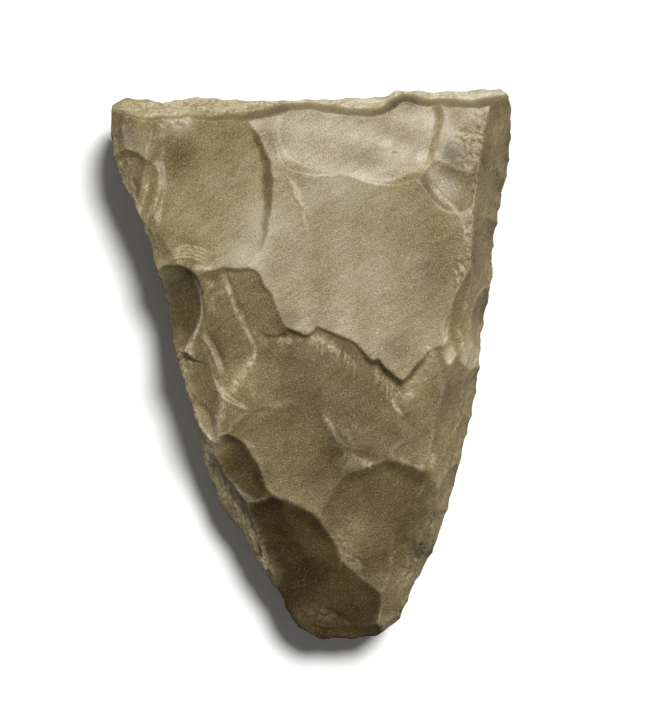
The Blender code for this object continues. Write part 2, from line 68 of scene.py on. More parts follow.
# The outline seen from above, clockwise from the top left corner.
OUTLINE = (
    (-41, 53.6), (-37.6, 55.3), (-30, 54.5), (-24, 55.4), (-10, 54.8), (8, 55.3), (15, 55.7),
    (19, 57), (28, 56.7), (39, 57.3), (42.2, 55), (42.6, 46), (42.2, 41.2), (40.8, 35), (39.1, 26),
    (38.6, 17.8), (36.3, 4.5), (35.3, -6.5), (32.6, -18), (29.6, -30), (26.7, -38.5), (25.2, -41.9),
    (22.4, -46.8), (20.3, -51.4), (18, -55.4), (12.2, -58.2), (2.9, -58.6), (-1.2, -56.8),
    (-4, -54), (-6.2, -49.2), (-10.4, -43.3), (-14.3, -36), (-18.3, -31), (-22.6, -20),
    (-23.5, -13), (-27.5, -0.5), (-30.2, 12), (-33.4, 24.5), (-35.9, 31), (-40.2, 40),
    (-41.5, 48.5),
)

# The convex core plate that every ray leaves from.
CORE = (
    (-34, 47.5), (34.5, 48.5), (30.5, 4), (25, -24), (17, -42.5), (7.5, -49.5), (-1, -46.5),
    (-15.5, -18.5),
)

# A scar is a shallow bowl. x, y and z place its middle, and heading is the way its length runs,
# in degrees from +X. slope_x and slope_y tilt it; bow and cup are how far it rises at the ends
# of its length and of its width. wall is how steeply it is bounded there, and 0 lets it feather
# out; the wall starts gently over the length of its fillet. tone shifts the stone's colour, from
# -1, brown and dark, to 1, grey and pale. wall_tone darkens it further where the wall
# rises: it is shade painted onto the steep walls between the scars.
PLAIN_TONE = -0.35
Scar = namedtuple(
    "Scar", "name x y z heading length width slope_x slope_y bow cup wall fillet tone wall_tone",
    defaults=(PLAIN_TONE, 0.0),
)

FACE = (
    Scar("blank", 2, 8, 30.5, 90, 150, 110, 0, 0, -9, -9, 0, 1, -0.1),
    # The broad faces.
    Scar("plateau", 16, 20, 25.3, 0, 58, 50, 0.05, 0.02, 2.2, 1.5, 0, 1, 0.1),
    Scar("crown", 10, 52, 24.3, 0, 35, 32, -0.03, -0.08, -0.5, 0.8, 0.7, 2, 0.02),
    Scar("crown_side", -6, 44, 25.6, 75, 16, 8, 0.1, -0.15, 0.6, 0.4, 0.9, 1, 0.05),
    Scar("crown_corner", -8.5, 51, 24.6, 25, 9, 6, 0.04, -0.1, 0.2, 0.2, 0.8, 1.5, 0.1),
    Scar("shoulder", -21.5, 30, 22.4, 90, 48, 27.4, 0.24, -0.1, 3.6, -0.6, 1.1, 1.2, 0.04, -0.2),
    Scar("scoop", -8, 14, 25.4, -62, 60, 50, 0.2, 0.12, 0.2, 0.2, 1.6, 1.5, -0.36),
    Scar("belly", 0, -8.5, 22.4, -36, 60, 44, 0.06, 0.13, 0.6, 0.6, 1.5, 0.5, -0.38, -0.25),
    Scar("belly_right", 24, -11, 23.3, 70, 30, 20, -0.02, 0.16, 0.8, 0.8, 1.6, 0.5, -0.35, -0.5),
    Scar("hollow", -4, -20, 19.2, 0, 28, 28, 0.1, 0.16, 1, 1.5, 0.45, 1.8, -0.3),
    Scar("keel", 13, -33, 18.3, 40, 28, 26, 0, 0.2, 0.4, 0.6, 0.5, 2.2, -0.62),
    # The left edge, from the top.
    Scar("left_lens", -30, 10.5, 16.1, 88, 22, 16, 0.66, 0.02, 5, 0.2, 1.3, 0.6, -0.78),
    Scar("left_mid", -16.5, 6, 22.9, 108, 30, 14, 0.17, 0.03, 2, 0.2, 3, 0.3, -0.36),
    Scar("left_inner", -20.5, 0.5, 21.5, 112, 12, 6, 0.38, 0.05, 0.3, 0.3, 0.8, 1, -0.45),
    Scar("left_low", -22.5, -8, 19.2, 102, 22, 12, 0.5, 0.08, 0.4, 0.9, 2.5, 0.4, -0.35),
    Scar("left_foot", -23, -14, 18.4, 100, 10, 5, 0.02, 0, 0.4, 0.4, 1.2, 0.6, 0),
    # The narrow end.
    Scar("bite", -14.5, -22.5, 17.3, 118, 18, 14, 0.27, 0.26, 0.3, 0.3, 1.2, 1, -0.8),
    Scar("basin", -3, -42, 14.8, -50, 40, 24, 0.19, 0.18, 0.9, 0.9, 0.55, 2, -0.95),
    Scar("side_low", -15, -35, 12.8, -57, 26, 5, 0.35, 0.1, 0.4, 0.4, 1, 0.6, -0.7),
    Scar("tip", 7, -55, 14.2, -8, 14, 5, 0.12, 0.65, 0.4, 0.4, 1, 0.6, -1.6),
    Scar("tip_left", -1, -56.3, 13.4, -20, 7, 3.6, 0.3, 0.6, 0.4, 0.4, 2, 0.6, -1.6),
    Scar("right_low", 20, -46, 15.2, 65, 26, 13, -0.26, 0.12, 0.8, 0.8, 0.4, 1, -0.62),
    Scar("keel_foot", 10.5, -46, 16, 60, 18, 9, 0.1, 0.27, 0.3, 0.3, 0.4, 3, -0.95),
    # The right edge, from the bottom.
    Scar("right_knee", 30, -20, 16.8, 75, 22, 9, -0.9, 0.1, 0.8, 0.8, 0.6, 1, -0.4),
    Scar("right_mid", 33, -6, 19.6, 84, 22, 7, -1.6, 0.1, 0.5, 0.5, 0.8, 1, 0.5),
    Scar("right_cut", 33.5, 10.5, 22.4, 75, 13, 7, -0.75, 0.25, 0.4, 0.4, 1.5, 0.6, -0.2),
    Scar("right_fan", 28.5, 5, 26.2, 60, 9, 4.4, -0.25, -0.05, 0.3, 0.3, 0.8, 1, 0),
    Scar("right_pit", 29.4, 0.6, 25.2, 80, 4.4, 2.6, -0.15, -0.1, 0.2, 0.3, 0.8, 0.8, 0.3),
    Scar("right_strip", 33.5, 2, 20.4, 80, 16, 5, -1.2, 0, 0.5, 0.5, 1, 0.8, 0),
    Scar("right_up", 37, 25, 20.5, 88, 34, 8, -1.8, 0.05, 0.4, 0.4, 0.8, 1, -0.45),
    Scar("right_wedge", 32.5, 28.5, 26.9, -62, 13, 6, -0.28, -0.06, 0.3, 0.5, 1, 1.2, -0.1),
    Scar("right_bowl", 30.5, 38.3, 25.1, 60, 10, 9, 0.1, -0.02, 0.4, 0.4, 0.5, 2.4, -0.3),
    Scar("right_top", 32, 48.5, 24.3, 80, 16, 13, 0.02, -0.06, 0.2, 0.2, 0.5, 2.5, -0.05),
    Scar("right_side", 40.6, 46, 18.2, 88, 24, 6, -1.6, 0, 0.5, 0.3, 0.6, 1, -0.5),
    # The top left corner.
    Scar("corner_side", -41.4, 49, 19, 90, 16, 7, 0.6, 0.05, 0.6, 0.6, 0.8, 1.5, -0.25),
    Scar("corner_top", -34, 47, 21.3, 20, 11, 9, 0.14, -0.02, 0.4, 0.4, 0.6, 1.5, -0.2),
    Scar("corner_tri", -37.6, 38, 18.2, 60, 10, 7, 0.42, 0.14, 0.4, 0.4, 0.9, 1.2, -0.2),
    Scar("corner_wedge", -34, 34.5, 19, 66, 12, 3.4, 0.34, 0.05, 0.4, 0.4, 0.9, 1.2, 0),
    Scar("corner_foot", -32.5, 25, 19.6, -68, 20, 6, 0.48, 0.1, 0.4, 0.2, 0.9, 1.2, -0.2),
    # The wide edge: a steep drop to a narrow lip. The lip's pale tone is a painted reflection, the
    # silvery sheen along the edge, and the dark tone of its wall is painted shade under the drop.
    Scar("lip", 0, 56, 17, 0, 100, 20, -0.01, -0.35, 0, 0, 3, 0.2, 0.75, -1.3),
    Scar("lip_left", -25, 55, 17.4, 0, 60, 20, -0.02, -0.55, 0, 0, 2.2, 0.3, 0.1, -0.6),
)

# Where a scar's rim isn't an oval, these points follow it round, clockwise. The wall starts this
# far inside them.
Rim = namedtuple("Rim", "setback path")
RIMS = {
    "shoulder": Rim(2.2, (
        (-30.5, 52), (-14, 52.6), (-9.8, 47.8), (-8.3, 43.5), (-7.6, 39), (-7.4, 32), (-7.7, 26),
        (-8.4, 20.5), (-11, 17), (-20, 14), (-32, 14), (-34, 24), (-32, 36),
    )),
    "crown": Rim(0.8, (
        (-4, 54.5), (-6.4, 50), (-6.2, 45.5), (-4.2, 41.8), (0, 39.4), (6, 37.9), (14, 36.6),
        (19.5, 38), (24.3, 41.2), (25.8, 46), (25.5, 54), (10, 59),
    )),
    "scoop": Rim(0.5, (
        (-18.6, 18.6), (-14, 18.6), (-10.8, 18.2), (-9, 15.6), (-7, 12.4), (-4.6, 7.2), (0, 2),
        (-4, -10), (-16, -8), (-24, 6),
    )),
    "belly": Rim(1.3, (
        (-18, 13), (-12, 9.5), (-8.5, 6.5), (-5.6, 6.3), (-4.6, 7.3), (-2.4, 6.7), (-0.4, 6),
        (1.4, 8.9), (2.6, 8), (4.6, 7), (7.4, 5.8), (9.9, 4.3), (12, 1.9), (13.3, 0.5), (14.4, 1.3),
        (15.4, -0.4), (17, -2.3), (18.9, -3.9), (21, -5), (25, -7), (28, -16), (24, -26), (8, -32),
        (-14, -28), (-24, -10),
    )),
    "belly_right": Rim(0.8, (
        (16, -8), (17.4, -5.4), (18.8, -4.2), (20.8, -2.8), (23, 0.2), (24.4, 2.6), (26.6, 3.4),
        (30, 2.6), (36, 0), (36, -20), (26, -27), (15, -20),
    )),
    "left_lens": Rim(0.4, (
        (-30.8, 18.4), (-28, 20), (-25.6, 19.8), (-24.3, 18.2), (-22.9, 15.5), (-22.1, 12),
        (-22.3, 9.5), (-23.2, 7), (-24, 4.5), (-25, 2), (-27, 0.8), (-31, 2), (-34, 10),
    )),
    "left_mid": Rim(0.35, (
        (-23.5, 18.4), (-21, 18.9), (-18.2, 19), (-17, 17.6), (-15, 13), (-12.6, 7.6), (-11.3, 5),
        (-11, 2.6), (-11.7, -0.6), (-14, -3.2), (-15.5, -5.8), (-17.2, -9), (-19.6, -2), (-22, 4),
        (-24, 8), (-25, 14),
    )),
    "left_low": Rim(0.5, (
        (-26.6, 0.6), (-24, 0.4), (-21, -0.3), (-19, -1.8), (-17.6, -4), (-17.2, -7), (-17.8, -10),
        (-18.8, -13), (-20.2, -16.5), (-21.2, -20), (-24, -22), (-28, -12),
    )),
    "hollow": Rim(1.4, (
        (-15, -16), (-11.5, -12), (-8, -9.8), (-4, -8.2), (0, -7.4), (2.4, -9), (3.8, -12.6),
        (6.2, -16), (9, -18.6), (6, -24), (8, -36), (0, -33), (-8, -28), (-12, -18),
    )),
    "keel": Rim(1.2, (
        (3.4, -28), (5, -25.2), (8.5, -23.8), (13, -22.9), (17, -22.8), (20.5, -23.8),
        (23.6, -25.8), (27, -31), (25, -40), (19, -48), (12, -47), (7.5, -41), (3.5, -34),
    )),
    "bite": Rim(0.9, (
        (-18.6, -17.8), (-16.5, -16.3), (-14.3, -16.1), (-12.5, -17.4), (-11, -19.8), (-8.8, -22.6),
        (-7.6, -25.5), (-7, -28.6), (-12.5, -28.8), (-17, -25.5), (-20.8, -21.8), (-20.2, -19.2),
    )),
    "basin": Rim(2.6, (
        (-12.6, -30.2), (-9, -28.6), (-6, -28.8), (-3, -29.9), (1, -32.5), (4.5, -35.4), (8, -38.8),
        (10.2, -42.6), (12.4, -46.4), (14.2, -50), (13, -55), (4, -59), (-4, -58), (-14, -50),
        (-19, -36),
    )),
    "right_bowl": Rim(0.8, (
        (24.6, 40.4), (25.4, 37), (28, 34), (30.4, 33.4), (34.6, 33), (35.4, 36.6), (34.8, 39.6),
        (32, 41.2), (30.4, 44.2), (27.4, 43.6),
    )),
    "corner_tri": Rim(0.4, (
        (-42, 40.5), (-39.5, 41.8), (-36.4, 42), (-34.4, 40.4), (-33.6, 37.2), (-34.8, 32.6),
        (-36.8, 29.5), (-40, 34),
    )),
    "corner_wedge": Rim(0.3, (
        (-33.2, 40.6), (-31.4, 40), (-31.2, 36.6), (-32.4, 32.2), (-34.2, 28.8), (-36, 28),
        (-35.8, 30.6), (-34.4, 34.4), (-33.6, 37.6),
    )),
    "lip_left": Rim(0, (
        (-46, 54), (-41, 52.6), (-37, 51.6), (-32, 51), (-28, 51.4), (-24, 51.9), (-20, 51.6),
        (-16, 51.8), (-12, 52.4), (-8, 53.6), (-4, 55.4), (-6, 62), (-50, 62),
    )),
    "lip": Rim(0, (
        (-30, 56.4), (-20, 55.2), (-13, 54.2), (-9, 53.9), (-4, 54.3), (0, 54.4), (5, 53.7),
        (10, 53), (13.5, 53.2), (16.5, 54.4), (19.5, 56.2), (21.5, 55.9), (25, 55.2), (28, 54.9),
        (30, 55), (33, 54.8), (36, 55), (39, 55.6), (43, 57), (50, 66), (0, 70), (-30, 62),
    )),
}

# Low ridges and grooves that cross the scars: arrises, the waves of a blow, and lips.
# height is above the surface, or below it where less than 0, width is to either side, and
# wear is how pale its crest is: crushed grit, and along the wide edge a painted
# highlight.
Ridge = namedtuple("Ridge", "height width wear path")
LENS_BROW = ((-29.6, 20.6), (-27.4, 21.6), (-25, 21.7), (-22.8, 21), (-20.8, 19.9))
RIDGES = (
    Ridge(0.25, 0.5, 0.7, ((25, 37), (27.2, 34.4), (29.6, 32), (31.4, 29))),
    Ridge(0.15, 0.9, 0.35, (
        (27.8, 58), (27.9, 52), (27.5, 47), (26.2, 42.6), (23, 40.4), (17, 38),
    )),
    Ridge(0.2, 0.8, 0.25, ((3, -11), (3.8, -13.2), (5.6, -15.8), (8.2, -18.6))),
    Ridge(0.15, 0.7, 0.15, ((6.2, -13.2), (7.6, -15.6), (10, -18.4))),
    Ridge(-0.15, 1.2, 0, ((-9, -14.5), (-6, -12.4), (-3, -10.6), (0, -9.9), (2.2, -10.6))),
    Ridge(0.12, 0.8, 0.2, ((-14.6, -15.4), (-12, -12.8), (-9.4, -11), (-6, -9.2), (-2, -7.9))),
    *(
        Ridge(0.4, 0.24, 0.8, tuple((x + 0.2 * k, y + 0.75 * k) for x, y in LENS_BROW))
        for k in range(4)
    ),
    Ridge(0.2, 0.28, 0.5, ((-23.6, 6.6), (-21.2, 3.8), (-19.6, 0.6), (-18.4, -3.2))),
    Ridge(-0.3, 0.6, 0, ((-22.4, 7), (-20, 4.4), (-18.4, 1), (-17.2, -3))),
    Ridge(0.18, 1, 0.35, ((18.8, -5.8), (21, -4.6), (23.6, -1.8), (25.4, 0.8), (26.8, 1.4))),
    Ridge(-0.4, 1.3, 0, ((5, -19.8), (10, -20), (14.6, -20.1))),
    Ridge(0.2, 1.4, 0.1, ((5, -22.6), (10, -22.1), (14.4, -21.6))),
    Ridge(-0.3, 0.9, 0, ((15.2, -20), (16.2, -21.6), (17, -23.4))),
    Ridge(0.15, 0.4, 0.9, ((16.7, -7), (17.4, -8.6), (18.3, -10), (19.6, -11.2))),
    Ridge(-0.25, 0.9, 0, ((25.8, 3.2), (26.8, 0.6), (27.6, -2.4), (28.4, -6))),
    Ridge(0.3, 0.6, 0.4, ((29.8, 7.4), (31.6, 5.2), (32.4, 1), (32.2, -3))),
    Ridge(0.3, 0.5, 0.5, ((33.4, 9.6), (33.9, 6), (34.2, 2))),
    # The pale crests along the wide edge are painted highlights, the silvery glints of its layers.
    Ridge(0.2, 0.4, 0.7, ((-38, 54), (-33, 53.9), (-29, 54.2), (-24, 54.9), (-19, 54.6))),
    Ridge(0.2, 0.3, 0.7, ((-24, 54), (-19, 54.1), (-14, 53.9), (-9, 54.4), (-5, 54.9))),
    Ridge(0.25, 0.5, 0.6, ((28, 56.4), (31, 55.9), (34, 55.7), (38, 56.4))),
    Ridge(-0.15, 0.4, 0, ((-37, 52.4), (-33, 51.9), (-28, 52), (-23, 52.6), (-19, 52.4))),
    Ridge(-0.15, 0.5, 0, ((-34, 51), (-29, 50.9), (-25, 51.4), (-20, 51.2))),
    Ridge(0.25, 0.7, 0.7, ((-23.8, 19.4), (-22, 19.3), (-20.2, 18.8))),
    Ridge(-0.3, 1, 0, ((-22.6, 17.4), (-20.6, 17.2), (-18.8, 16))),
    Ridge(0.12, 0.3, 1, (
        (-24.4, 18.6), (-22.8, 15.2), (-22.2, 12.4), (-22.3, 9.5), (-23.2, 7), (-24.2, 4.4),
        (-25.4, 2),
    )),
    Ridge(-0.2, 0.4, 0, ((-18.2, 20), (-16.8, 17.2), (-15, 13.2), (-12.6, 8))),
    Ridge(0.12, 0.35, 0.7, ((-4.4, 38.2), (-2.6, 35.6), (-1.4, 33.2))),
    Ridge(0.12, 0.3, 0.6, ((-3.6, 36.6), (-2.4, 33.4), (0, 31))),
    Ridge(-0.2, 0.5, 0, ((2.6, -51.4), (5, -53), (7.4, -54.2), (10, -56))),
)

# Fans of short splits that hang from a scar's rim, on the right hand of the path. slant turns
# them back along it, in degrees.
Fan = namedtuple("Fan", "seed spacing reach slant height path")
FANS = (
    Fan(3, 0.55, 3.6, 20, 0.16, ((0.2, 5.4), (2.4, 5), (4.6, 4), (7.4, 2.4), (10, 0.2))),
    Fan(5, 0.6, 2.4, -10, 0.12, ((-10, 5.8), (-7.6, 6), (-5.4, 5.6), (-3.4, 5.2))),
    Fan(8, 0.7, 4.6, 50, 0.14, ((13.6, -0.6), (15.4, -2.6), (17.2, -4.6), (18, -6.4))),
    Fan(11, 0.5, 2.2, 25, 0.1, ((4.4, -11.6), (5.4, -14.2), (7.4, -17), (10, -19.4), (13, -20.6))),
    Fan(13, 1.2, 3.6, 85, 0.08, ((-4.6, 38), (-3, 35.4), (-1.8, 32.4), (-1, 29))),
)
SPLIT_WIDTH = 0.22
# How unevenly they lean, in degrees, and how far from the path they start, bend and reach, as
# shares of their length. Then how high and how worn they are.
SPLIT_LEAN, SPLIT_START, SPLIT_BEND, SPLIT_REACH = (-14, 14), (0.0, 0.3), (-0.1, 0.1), (0.4, 1.0)
SPLIT_HEIGHT, SPLIT_WEAR = (0.5, 1.3), (0.1, 0.8)

# The tone and wear of the stone's sides, which the scars' own don't reach.
SIDE_FINISH = {"tone": PLAIN_TONE, "wear": 0.2}
TONE_BLUR = 5  # how many times each tone is evened out with its neighbours'

# Stains and painted shading: patches where the stone is paler or darker than its scars make it,
# and fade out. Some are the stone's own stains, and the rest are painted light and painted shade
# where the relief doesn't make the stone as pale or as dark. Each row is the x and y of its
# middle, its radius and how far it shifts the tone.
STAINS_AND_PAINTED_SHADING = (
    (26, 17, 7, -0.4), (5, 23, 5, -0.2), (-3, 23, 3.5, -0.4), (-7, 18, 2.5, -0.3),
    (-4, 9, 2.5, -0.5), (1, 34, 3, 0.4), (8, 37, 3.5, 0.55), (29.5, 42.5, 3.5, -0.7),
    (34, 41, 3, -0.25), (25, 41, 2.5, 0.4), (29.5, 47, 2.5, 0.3), (21, 54.5, 2.5, -0.6),
    (9, 41, 3.5, -0.35), (23, 34.5, 3.5, -0.3), (-7.5, 45.5, 3, -0.5), (-2.5, 38.5, 2.5, -0.35),
    (-4.5, 43, 2.5, 0.3), (-38, 48, 3.5, -0.4), (-27, 42.5, 4.5, -0.6), (-26.5, 49.5, 3, 1),
    (-34.5, 49, 2.5, 0.4), (-35.5, 35.5, 2.5, -0.3), (-25, 24, 3.5, -0.55), (-31, 27, 2.5, -0.25),
    (-13.5, 21.5, 3.5, 0.9), (-9, 29, 4.5, 0.7), (-18, 36, 5, 0.3), (-30, 19.5, 3, 0.6),
    (-27, 4, 3, 0.4), (-20, 1, 2, -0.25), (-14, -3.5, 3, 0.35), (-20, -17, 3, 0.8),
    (-9.5, -23.5, 2.5, -0.35), (6, -19.5, 4.5, -0.5), (2, -25, 4, -0.3), (-4, -29.5, 2.5, 0.2),
    (9.5, -35, 3, 0.35), (21.5, -5.5, 4, 0.4), (27, 1.5, 3, 0.5), (30, -2, 2.5, 0.3),
    (17.5, 2.5, 3, -0.4), (0, 4.8, 2.5, 0.25), (24, -39, 3, -0.4), (-22.5, 26.5, 3, 0.45),
    (11.5, -43, 3, -0.3), (20, -46, 2.5, 0.3), (3, -54, 4.5, -1.8), (39, 47, 2.5, 0.3),
    (41.5, 43.5, 2.5, -0.5), (40, 34, 2.5, -0.2), (36.5, 10, 2, -0.4),
)

# Crushed stretches, where the stone broke up into small facets or long splinters. height is how
# far they stand off the surface, and width is how far they spread to either side of the path.
Crush = namedtuple("Crush", "height width wear path kind", defaults=("facets",))
CRUSHED = (
    Crush(0.12, 0.7, 0.8, ((-24, 19.4), (-22, 19.5), (-19.6, 19))),
    Crush(0.12, 0.35, 1, (
        (-18.2, 18.6), (-16.4, 14), (-14.8, 10), (-13.2, 7), (-12, 4.6), (-11.2, 2.8), (-11.6, 0.4),
        (-13.4, -2.4), (-15.2, -5), (-16.6, -7.6),
    )),
    Crush(0.25, 0.7, 1, (
        (-18.2, -3), (-17.8, -5), (-18, -8), (-18.4, -11), (-19.4, -13.8), (-20.6, -17),
        (-21.6, -21.5),
    )),
    Crush(0.35, 1.1, 0.7, ((-27.6, 2.6), (-25.4, 1.2), (-25.6, -1), (-26, -3.6))),
    Crush(0.4, 2, 0.5, (
        (-28, 1), (-26.6, -5), (-24.6, -12), (-22.8, -18), (-20.6, -23), (-17.6, -27.6),
        (-14.8, -32), (-12.6, -37), (-9.8, -43), (-7, -48),
    ), "splinters"),
    Crush(0.35, 1.1, 1, ((-32, 49.8), (-28, 49.4), (-23.5, 50.6))),
    Crush(0.3, 1.2, 0.3, ((-39, 51), (-33, 51.6), (-26, 52), (-18, 52.2), (-9, 53))),
    Crush(0.35, 1.3, 0.2, (
        (36.8, 55), (36, 49), (35.6, 43), (35.2, 36), (34, 29), (32.6, 23), (31, 17), (31.6, 12),
    )),
    Crush(0.2, 0.5, 0.9, (
        (-31.2, 40.5), (-31.3, 37), (-32.6, 32.6), (-34.4, 28.6), (-36, 28.2),
    )),
    Crush(0.15, 0.35, 0.8, ((-33.4, 38.6), (-34.2, 35), (-35.6, 31), (-36.4, 28.8))),
    Crush(0.18, 0.5, 0.5, ((-40.6, 41.4), (-38, 42.2), (-35.6, 41.8), (-34, 40))),
    Crush(0.15, 1.2, 0.7, ((17.4, -6), (19.4, -7.2), (21.6, -5.8))),
    Crush(0.15, 1.6, 0.45, ((19.6, -6), (22, -4.4), (24.6, -1.2), (26.6, 1.4))),
    Crush(0.25, 1.5, 1, ((-19.6, -14.6), (-20.6, -17.6), (-21.8, -21.5))),
    Crush(0.25, 0.9, 0.6, ((30.6, 42.4), (32.4, 40.8), (33.8, 39.2))),
    Crush(0.18, 1, 1, ((-11.4, 1), (-13.2, -1.6), (-15, -4.4), (-16.4, -7))),
    Crush(0.15, 1.1, 1, ((0, 5.2), (3, 4.3), (5.8, 2))),
    Crush(0.2, 0.7, 0.8, ((18.5, -20.6), (21, -21), (24, -22.2))),
    Crush(0.2, 0.8, 0.7, ((25.8, -19), (25.6, -22.5))),
    Crush(0.4, 1.6, 0.5, ((30.6, 47.6), (33, 44.6), (33.8, 42), (33.6, 39.6))),
    Crush(0.35, 1.3, 0.3, ((5, -35), (8, -38.4), (10, -42), (9.6, -44.6))),
    Crush(0.2, 0.8, 0.6, ((24.6, 3.8), (25.6, 1.4))),
    Crush(0.25, 0.6, 0.8, ((32.4, 12.6), (32.6, 10.6))),
    Crush(0.45, 2.6, 0.3, (
        (40.6, 54), (40.6, 46), (39, 38), (37, 28), (36.6, 18), (34.6, 6), (33.4, -4), (31.4, -14),
        (28.6, -24), (25, -36), (21, -44), (16, -51),
    ), "splinters"),
    Crush(0.4, 2, 0.3, (
        (-41, 52), (-40.4, 44), (-37.6, 35), (-33.6, 24), (-31, 12), (-28, 1),
    ), "splinters"),
    # Along the wide edge, in the rows below, the paleness is partly crushed grit and partly painted
    # highlight: the silvery glints of its thin layers.
    Crush(0.35, 1.2, 0.7, (
        (-40, 54), (-33, 53.9), (-26, 54.4), (-18, 54.4), (-10, 54.4), (-2, 54.9), (8, 55),
        (16, 56), (26, 56.4), (38, 56.6),
    ), "layers"),
    Crush(0.35, 0.7, 0.35, (
        (-9, 53.5), (-4, 53.8), (0, 53.9), (5, 53.2), (10, 52.5), (13.5, 52.7), (16.5, 53.9),
        (19.5, 55.6), (25, 54.7), (30, 54.5), (36, 54.5), (39, 55.1),
    )),
    Crush(0.3, 0.9, 0.5, (
        (-6, 54.6), (2, 54.6), (8, 53.9), (13.5, 54), (17, 55.4), (21.5, 56.6), (26, 55.9),
        (32, 55.6), (38, 56.2),
    ), "layers"),
    Crush(0.3, 1.2, 0.1, ((-3.6, -54.2), (-0.5, -52.8), (3.5, -53.4), (7, -55.4))),
    Crush(0.35, 1.6, 0.6, (
        (-40, 53.4), (-34, 52.6), (-28, 52.8), (-22, 53.4), (-16, 53.2), (-10, 54.2),
    ), "layers"),
)
FACET = 1.0  # how broad the facets and splinters are
FACET_STRAY, FACET_LIFT = 0.45, 0.5  # how far a facet strays from its cell's middle, and is lifted
SPLINTER_LENGTH = 3.4
LAYER_LENGTH, LAYER_THICKNESS = 4.0, 0.5  # of the thin layers along the wide edge
SIDE_SLANT = 0.22  # the celt's sides, and the splinters along them, slant outward this much upward

# The back is worked more simply: long flakes struck in from all round, then short ones that trim
# the edge. pitch is how steeply a flake climbs inward.
Flakes = namedtuple("Flakes", "seed spacing length width pitch bow cup wall")
BACK_FLAKES = (
    Flakes(7, 15, 34, 21, 0.4, 0.8, 1.5, 0.5), Flakes(21, 8, 13, 9.5, 0.55, 0.4, 0.6, 0.9),
)
FACE_TRIM = Flakes(5, 5, 1.8, 4, 1.5, 0.1, 0.1, 2.5)
TRIM_BELOW = 50.0  # the top edge's bevel is trimmed by its own scars
TRIM_SHARE = 0.5  # of the stretches of the face's edge were trimmed

# How unevenly the flakes fall: shares of their spacing, size and pitch, then degrees off square to
# the edge, and how much deeper than planned.
UNEVEN_SPACING, UNEVEN_SIZE, UNEVEN_PITCH = (0.65, 1.35), (0.75, 1.25), (0.85, 1.15)
UNEVEN_TURN, UNEVEN_DEPTH = (-16.0, 16.0), (0.0, 0.5)
SHORTEST_STRETCH = 0.6  # of the spacing, at the end of the round
FLAKE_MIDDLE = 0.42  # of a flake's length, inward from where it was struck
FLAKE_FILLET = 0.8

# Where the face stands high at the edge, the back's flakes are struck from this far up at most,
# and are this much steeper: by the lift over this reach.
EDGE_LIFT = 6.5
LIFTED_REACH = 5.5
THICK_CORNER = (-42.0, 54.0)  # nothing is lifted here, and everything this far away
THICK_REACH = 16.0

# Small scallops that the last blows left in the outline.
SCALLOP_LENGTH = 5.0
SCALLOP_DEPTH = 0.35

# Scar edges wander by this much, and their floors roll by this much, over these lengths.
WANDER, WANDER_LENGTH = 0.22, 6.0
ROLL, ROLL_LENGTH = 0.16, 12.0
SWELLS = 4  # how many such patterns the scars share out
WAVES, WAVES_CREST = 10, 3.6  # how many waves make a swell, and about how high they stand together
WAVE_LENGTHS = (0.5, 1.8)  # of each wave, as shares of the swell's

ARRIS, ARRIS_WEAR = 0.3, 0.3  # how far to either side the scars' arrises are worn, and how pale
LEAST_RISE = 0.05  # scars that meet at a lower angle than this count as meeting at it
UNCUT = 99.0  # above every scar
LEVELLED = 0.05  # what is this near the table is ground level with it

# The blunt sides between the faces are broken into facets of this breadth and depth.
SIDE_FACET, SIDE_DEPTH = 2.0, 0.22

WARP, WARP_LENGTH = 0.35, 0.9  # how far the edges of facets are bent
PATCH = 3.0  # the wear of the arrises comes and goes over this length

# Random values are drawn once on a lattice of this size, and repeat beyond it.
LATTICE_ROWS, LATTICE_COLUMNS = 97, 89
SEEDS = {
    "scallops": 3, "facets": 17, "splinters": 23, "layers": 29, "patches": 31, "warp": 41,
    "sides": 43,
}

# How many straight stretches stand for the curve between two points of a path.
OUTLINE_STEPS, RIM_STEPS, LINE_STEPS = 12, 4, 6

# A ray is followed from the core plate in these many steps, no farther than this, and the step
# that leaves the stone is then halved these many times.
MARCH_STEPS, FARTHEST, HALVINGS = 24, 80.0, 10
ALMOST_ZERO = 1e-9

# The relief is worked out once on a grid of this spacing and read back between its points.
RELIEF_STEP = 0.2
RELIEF_SPAN = (46.0, 61.0)


def grid_points():
    across, up = RELIEF_SPAN
    xs = np.arange(-across, across + RELIEF_STEP / 2, RELIEF_STEP)
    ys = np.arange(-up, up + RELIEF_STEP / 2, RELIEF_STEP)
    return np.meshgrid(xs, ys)


def between(grid, i, j, beside, above, s, t):
    """Values between columns i and beside and rows j and above, at the shares s and t."""
    lower = grid[j, i] * (1 - s) + grid[j, beside] * s
    upper = grid[above, i] * (1 - s) + grid[above, beside] * s
    return lower * (1 - t) + upper * t


def read_grid(grid, x, y):
    """The grid's value at each point, from the four nearest."""
    across, up = RELIEF_SPAN
    column = np.clip((x + across) / RELIEF_STEP, 0, grid.shape[1] - 1.001)
    row = np.clip((y + up) / RELIEF_STEP, 0, grid.shape[0] - 1.001)
    i, j = column.astype(int), row.astype(int)
    return between(grid, i, j, i + 1, j + 1, column - i, row - j)


def smooth_loop(points, steps):
    """A closed curve through the points, with this many stretches between each two."""
    here = np.array(points)
    before, after, beyond = (np.roll(here, -k, axis=0) for k in (-1, 1, 2))
    t = np.linspace(0.0, 1.0, steps, endpoint=False)[:, None, None]
    curve = here + 0.5 * t * (
        after - before
        + t * (
            2 * before - 5 * here + 4 * after - beyond
            + t * (3 * here - before - 3 * after + beyond)
        )
    )
    return curve.transpose(1, 0, 2).reshape(-1, 2)


def smooth_path(points, steps):
    """An open curve through the points."""
    ends = np.array(points)
    closed = np.vstack([ends, 2 * ends[-1] - ends[-2], 2 * ends[0] - ends[1]])
    return smooth_loop(closed, steps)[: steps * (len(ends) - 1) + 1]


